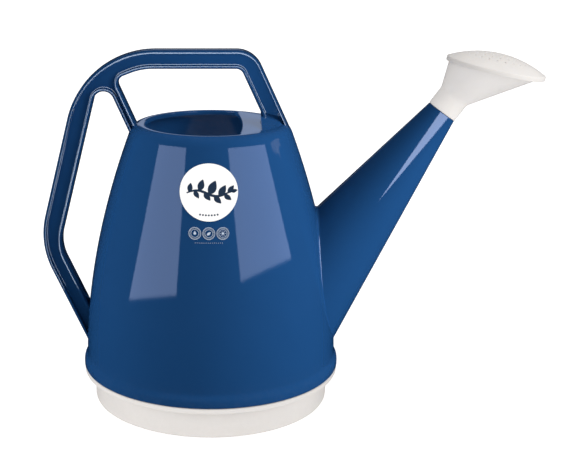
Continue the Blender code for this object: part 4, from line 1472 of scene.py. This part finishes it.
def sprig_mesh(label, tank):
    """A printed sprig: a curved stem, paired leaves and a row of dots."""
    shape = bmesh.new()
    place = (label.side, label.height)
    lift = 0.0003 + label.film
    reach, wave, steps = 0.0410, 0.0026, 40
    shares = [i / steps for i in range(steps + 1)]
    stem = [(reach * (share - 0.5), wave * math.sin(2.2 * math.pi * share) - 0.0008)
            for share in shares]
    widths = [0.0012 + 0.0013 * math.sin(math.pi * share) for share in shares]
    add_film(shape, stroke(stem, widths), place, lift, label.ink, tank)
    for index, rise, long in (
            (2, 72, 0.0088), (7, -66, 0.0084), (11, 64, 0.0112), (16, -60, 0.0094),
            (20, 58, 0.0142), (25, -54, 0.0094), (29, 52, 0.0118), (34, -46, 0.0084),
            (37, 44, 0.0088), (40, 4, 0.0062)):
        add_film(shape, leaf_rows(stem[index], math.radians(rise), long,
                                  0.56 * long), place, lift, label.ink, tank)
    dot_step, dot_row, dot_sag = 0.0027, -0.0212, 9.0
    for i in range(-3, 4):
        x = i * dot_step
        add_film(shape, disc_rows(x, dot_sag * x * x + dot_row, (0.0001, 0.0009), 18),
                 place, lift, label.ink, tank, cyclic=True, core=True)
    return mesh_from(shape, "label_sprig_ink", crease=50.0)


def dots_tree():
    """Geometry Nodes: a ring of small round ink dots, standing upright."""
    tree, given, result = new_tree("Dotted ring", "GeometryNodeTree", [
        ("in", "Int", "Count", 24), ("in", "Float", "Ring Radius", 0.0047),
        ("in", "Float", "Dot Radius", 0.00033), ("in", "Float", "Thickness", 0.0001),
        ("in", "Material", "Material", None), ("out", "Geometry", "Geometry", None)])
    index = put(tree, "GeometryNodeInputIndex").outputs[0]
    turn = calc(tree, "DIVIDE", calc(tree, "MULTIPLY", index, math.tau),
                given["Count"])
    place = put(tree, "ShaderNodeCombineXYZ", {
        0: calc(tree, "MULTIPLY", given["Ring Radius"], calc(tree, "COSINE", turn)),
        1: calc(tree, "MULTIPLY", given["Ring Radius"], calc(tree, "SINE", turn)),
        2: 0.0})
    points = put(tree, "GeometryNodePoints", {
        "Count": given["Count"], "Position": place.outputs[0]})
    dot = put(tree, "GeometryNodeMeshCylinder", {
        "Vertices": 10, "Radius": given["Dot Radius"], "Depth": given["Thickness"]})
    spread = put(tree, "GeometryNodeInstanceOnPoints", {
        "Points": points.outputs[0], "Instance": dot.outputs[0]})
    real = put(tree, "GeometryNodeRealizeInstances", {0: spread.outputs[0]})
    painted = put(tree, "GeometryNodeSetMaterial", {
        "Geometry": real.outputs[0], "Material": given["Material"]})
    tree.links.new(painted.outputs[0], result.inputs[0])
    arrange(tree)
    return tree


def mark_mesh(name, kind, x, label, tank, dots):
    """A care mark: two rings, a ring of dots and a small motif, on the wall."""
    place, radius = (x, label.mark_height), label.mark_radius
    lift, ink = 0.00015, label.ink * 2
    shape = bmesh.new()
    for outer, thick in ((radius, 0.00042), (radius * 0.66, 0.00034)):
        add_film(shape, disc_rows(0.0, 0.0, (outer - thick, outer - thick / 2, outer),
                                  72), place, lift, ink, tank, cyclic=True)
    if kind == "drop":
        tear = [(0.0, 0.0023 - 0.0037 * i / 10) for i in range(11)]
        fat = [0.0002 + 0.0024 * math.sin(math.pi * (i / 10) ** 1.6) ** 0.8
               for i in range(11)]
        add_film(shape, stroke(tear, fat), place, lift, ink, tank)
    elif kind == "leaf":
        for i in range(15):
            add_film(shape, disc_rows((i - 7) * 0.0018, -0.0088, (0.0001, 0.00032), 8),
                     place, lift, ink, tank, cyclic=True, core=True)
        add_film(shape, leaf_rows((-0.0019, -0.0014), math.radians(30.0),
                                  0.0046, 0.0024), place, lift, ink, tank)
    else:
        add_film(shape, disc_rows(0.0, 0.0, (0.0001, 0.0008, 0.0012), 20), place,
                 lift, ink, tank, cyclic=True, core=True)
        for i in range(8):
            turn = math.tau * i / 8
            ray = [(r * math.cos(turn), r * math.sin(turn))
                   for r in (0.0017, 0.0022, 0.0027)]
            add_film(shape, stroke(ray, [0.0004] * 3), place, lift, ink, tank)
    flat = bmesh.new()
    flat.from_mesh(dots)
    for vert in flat.verts:
        u, v, rise = vert.co
        vert.co = on_wall(x + u, place[1] + v, lift + ink / 2 + rise, tank)
    pieces = bpy.data.meshes.new("dots_on_wall")
    flat.to_mesh(pieces)
    flat.free()
    shape.from_mesh(pieces)
    bpy.data.meshes.remove(pieces)
    return mesh_from(shape, name, crease=50.0)


class CAN_OT_labels(bpy.types.Operator):
    """Build the round label, its printed sprig and the three care marks."""

    bl_idname = "watering_can.labels"
    bl_label = "Labels"

    def execute(self, context):
        label, tank = context.scene.can_label, context.scene.can_tank
        shape = bmesh.new()
        radii = [label.radius * part for part in
                 (0.01, 0.12, 0.25, 0.4, 0.55, 0.7, 0.82, 0.92, 0.985, 1.0)]
        add_film(shape, disc_rows(0.0, 0.0, radii, 160),
                 (label.side, label.height), 0.0003, label.film, tank,
                 cyclic=True, core=True)
        finish_piece("round_label_film", mesh_from(shape, "round_label_film", 50.0),
                     "can", "label_film", label_film(), "round_label")
        finish_piece("label_sprig_ink", sprig_mesh(label, tank), "can",
                     "label_film", label_ink())
        ink = mark_ink()
        dots = baked_by_nodes("mark_dots", dots_tree(), {
            "Count": 26, "Ring Radius": label.mark_radius * 0.81,
            "Dot Radius": 0.00030, "Thickness": label.ink * 2, "Material": ink})
        for i, (side, kind) in enumerate((("left", "drop"), ("middle", "leaf"),
                                          ("right", "sun"))):
            name = "mark_" + kind
            mesh = mark_mesh(name, kind, label.side + (i - 1) * label.mark_spacing,
                             label, tank, dots)
            finish_piece(name, mesh, "can", "label_film", ink, "care_mark_" + side)
        bpy.data.meshes.remove(dots)
        return {"FINISHED"}


# --------------------------------------------------------------------- stage

def stage_card(name, corners, faces, strength=0.0, tint=(0.0, 0.0, 0.0), clear=False):
    """A card that only gloss mirrors: a soft panel, a dark flag or a clear glow."""
    mesh = bpy.data.meshes.new(name)
    mesh.from_pydata([Vector(corner) for corner in corners], [], faces)
    card = bpy.data.objects.new(name, mesh)
    bpy.context.scene.collection.objects.link(card)
    material = bpy.data.materials.new(name)
    material.use_nodes = True
    material.cycles.emission_sampling = "NONE"
    tree = material.node_tree
    tree.nodes.clear()
    if clear:
        once = calc(tree, "LESS_THAN", put(
            tree, "ShaderNodeLightPath").outputs["Glossy Depth"], 1.5)
        strength = calc(tree, "MULTIPLY", once, strength)
    glow = put(tree, "ShaderNodeEmission", {"Color": rgba(tint), "Strength": strength})
    if clear:
        glow = put(tree, "ShaderNodeAddShader", {
            0: glow.outputs[0], 1: put(tree, "ShaderNodeBsdfTransparent").outputs[0]})
    end = tree.nodes.new("ShaderNodeOutputMaterial")
    tree.links.new(glow.outputs[0], end.inputs[0])
    mesh.materials.append(material)
    card.visible_camera = card.visible_diffuse = False
    card.visible_shadow = card.visible_transmission = False
    return card


def soft_lamp(name, place, aim, size, power):
    """A soft lamp that lights matt colour and shows in no reflection."""
    lamp = bpy.data.lights.new(name, "AREA")
    lamp.size = size
    lamp.energy = power
    obj = bpy.data.objects.new(name, lamp)
    bpy.context.scene.collection.objects.link(obj)
    obj.location = place
    obj.rotation_euler = (Vector(aim) - Vector(place)).to_track_quat(
        "-Z", "Y").to_euler()
    obj.visible_glossy = obj.visible_camera = False
    return obj


def light_only(source, *pieces):
    """Keeps a lamp or a panel to the pieces named."""
    group = bpy.data.collections.new(source.name + "_pieces")
    for piece in pieces:
        group.objects.link(bpy.data.objects[piece])
    source.light_linking.receiver_collection = group


def room_light(scene, sizes):
    """An even room for matt faces, and a dark one with a far wall for gloss."""
    world = bpy.data.worlds.new("studio_room")
    scene.world = world
    world.use_nodes = True
    tree = world.node_tree
    tree.nodes.clear()
    path = put(tree, "ShaderNodeLightPath")
    way = put(tree, "ShaderNodeSeparateXYZ", {
        0: put(tree, "ShaderNodeTexCoord").outputs["Generated"]})
    behind = ramp(tree, way.outputs[1], 0.91, 0.96)
    above = ramp(tree, way.outputs[2], 0.150, 0.170)
    below = ramp(tree, way.outputs[2], 0.210, 0.240, 1.0, 0.0)
    wall = calc(tree, "MULTIPLY", behind, calc(tree, "MULTIPLY", above, below))
    mirrored = put(tree, "ShaderNodeBackground", {
        "Color": rgba((0.65, 0.76, 1.0)),
        "Strength": calc(tree, "ADD", 0.012, calc(
            tree, "MULTIPLY", wall, sizes.backdrop))})
    even = put(tree, "ShaderNodeBackground", {
        "Color": rgba((1.0, 0.99, 0.985)),
        "Strength": ramp(tree, way.outputs[2], 0.0, 1.0, sizes.fill,
                         sizes.fill * 1.9)})
    seen = put(tree, "ShaderNodeBackground", {
        "Color": rgba((1.0, 1.0, 1.0)), "Strength": 1.0})
    first = put(tree, "ShaderNodeMixShader", {
        0: path.outputs["Is Glossy Ray"], 1: even.outputs[0], 2: mirrored.outputs[0]})
    last = put(tree, "ShaderNodeMixShader", {
        0: path.outputs["Is Camera Ray"], 1: first.outputs[0], 2: seen.outputs[0]})
    end = tree.nodes.new("ShaderNodeOutputWorld")
    tree.links.new(last.outputs[0], end.inputs[0])
    arrange(tree)


def pale_floor():
    mesh = bpy.data.meshes.new("pale_floor")
    shape = bmesh.new()
    bmesh.ops.create_circle(shape, cap_ends=True, segments=96, radius=6.0)
    shape.to_mesh(mesh)
    shape.free()
    floor = bpy.data.objects.new("pale_floor", mesh)
    bpy.context.scene.collection.objects.link(floor)
    material, _, shader = bare_material("pale_floor", 0.9, (0.95, 0.95, 0.95))
    shader.inputs["Base Color"].default_value = (0.93, 0.93, 0.93, 1.0)
    shader.inputs["Specular IOR Level"].default_value = 0.1
    shader.inputs["Emission Color"].default_value = (1.0, 1.0, 1.0, 1.0)
    shader.inputs["Emission Strength"].default_value = 0.50
    mesh.materials.append(material)
    floor.visible_glossy = False


class CAN_OT_stage(bpy.types.Operator):
    """Set out the pale floor, the soft panels, the room light and the camera."""

    bl_idname = "watering_can.stage"
    bl_label = "Stage"

    def execute(self, context):
        scene, sizes = context.scene, context.scene.can_stage
        scene.view_settings.view_transform = "Standard"
        room_light(scene, sizes)
        pale_floor()
        for name, outline in (("left_panel", LEFT_PANEL),
                              ("right_panel", RIGHT_PANEL)):
            light_only(stage_card(name, outline, [tuple(range(len(outline)))],
                                  sizes.panel, (0.57, 0.68, 1.0)), "tank_shell")
        wedge = stage_card("spout_panel", [(x, -0.6, z) for x, z in SPOUT_PANEL],
                           [tuple(range(len(SPOUT_PANEL)))], sizes.spout_panel,
                           (0.59, 0.70, 1.0), clear=True)
        light_only(wedge, "spout_blue")
        corners, faces = [], []
        for x0, x1, z0, z1 in BEAD_PANELS:
            faces.append(tuple(range(len(corners), len(corners) + 4)))
            corners += [(x, -0.35, z) for x, z in (
                (x0, z0), (x1, z0), (x1, z1), (x0, z1))]
        beads = stage_card("bead_panels", corners, faces, sizes.crest_panel,
                           (0.72, 0.85, 1.0), clear=True)
        light_only(beads, "handle_frame_blue")
        count, radius = 48, 0.165
        ring = [(radius * math.cos(turn), radius * math.sin(turn), z)
                for turn in (math.tau * i / count for i in range(count))
                for z in (-0.02, 0.100)]
        stage_card("foot_flag", ring, [
            (2 * i, 2 * i + 1, (2 * i + 3) % (2 * count), (2 * i + 2) % (2 * count))
            for i in range(count)])
        middle, rose = (0.0, 0.0, 0.15), (0.27, 0.0, 0.34)
        light_only(soft_lamp("right_lamp", (1.25, -0.40, 0.85), middle, 0.7,
                             sizes.right_lamp), "tank_shell", "spout_blue")
        light_only(soft_lamp("left_lamp", (-1.35, 0.05, 0.70), middle, 0.7,
                             sizes.left_lamp), "tank_shell")
        light_only(soft_lamp("spout_lamp", (0.95, -0.90, 0.30), rose, 0.5,
                             sizes.spout_lamp), "spout_blue")
        light_only(soft_lamp("grip_lamp", (0.03, -0.17, 0.36), (0.0, 0.0, 0.34),
                             0.10, sizes.grip_lamp), "handle_frame_blue")
        for name, aside in (("white_left", -1.2), ("white_right", 1.2)):
            light_only(soft_lamp(name, (aside, -0.70, 0.55), middle, 0.8,
                                 sizes.white_lamp), "base_cup_white",
                       "round_label_film", "rose_funnel_white")
        light_only(soft_lamp("rose_lamp", (1.10, -0.55, 1.10), rose, 0.6,
                             sizes.rose_lamp), "rose_funnel_white",
                   "rose_face_white")
        glow = bpy.data.lights.new("inner_glow", "POINT")
        glow.energy, glow.shadow_soft_size = sizes.inner_glow, 0.03
        inner = bpy.data.objects.new("inner_glow", glow)
        scene.collection.objects.link(inner)
        inner.location = (0.0, 0.0, 0.15)
        inner.visible_glossy = False
        eye = bpy.data.cameras.new("front_eye")
        eye.sensor_width = 36.0
        eye.lens = sizes.lens
        eye.shift_x = sizes.shift
        eye.shift_y = 0.0009
        eye.clip_start = 0.05
        camera = bpy.data.objects.new("front_eye", eye)
        scene.collection.objects.link(camera)
        camera.location = sizes.eye
        camera.rotation_euler = (math.pi / 2 - sizes.look_down, 0.0, 0.0)
        scene.camera = camera
        return {"FINISHED"}


OPERATORS = (CAN_OT_tank, CAN_OT_base_cup, CAN_OT_handle, CAN_OT_spout,
             CAN_OT_rose, CAN_OT_seals, CAN_OT_labels, CAN_OT_stage)


class CAN_PT_builder(bpy.types.Panel):
    """Lists every piece of the can, with its sizes."""

    bl_idname = "CAN_PT_builder"
    bl_label = "Watering Can"
    bl_space_type = "VIEW_3D"
    bl_region_type = "UI"
    bl_category = "Watering Can"

    def draw(self, context):
        layout = self.layout
        for operator in OPERATORS:
            layout.operator(operator.bl_idname)
        for name, group in GROUPS.items():
            box = layout.box()
            box.label(text=group.__doc__)
            for field in group.__annotations__:
                box.prop(getattr(context.scene, name), field)


def register():
    for group in (*GROUPS.values(), *OPERATORS, CAN_PT_builder):
        bpy.utils.register_class(group)
    for name, group in GROUPS.items():
        setattr(bpy.types.Scene, name, PointerProperty(type=group))


def unregister():
    for name in GROUPS:
        delattr(bpy.types.Scene, name)
    for group in reversed((*GROUPS.values(), *OPERATORS, CAN_PT_builder)):
        bpy.utils.unregister_class(group)


def main():
    register()
    for operator in OPERATORS:
        group, name = operator.bl_idname.split(".")
        getattr(getattr(bpy.ops, group), name)()


if __name__ == "__main__":
    main()
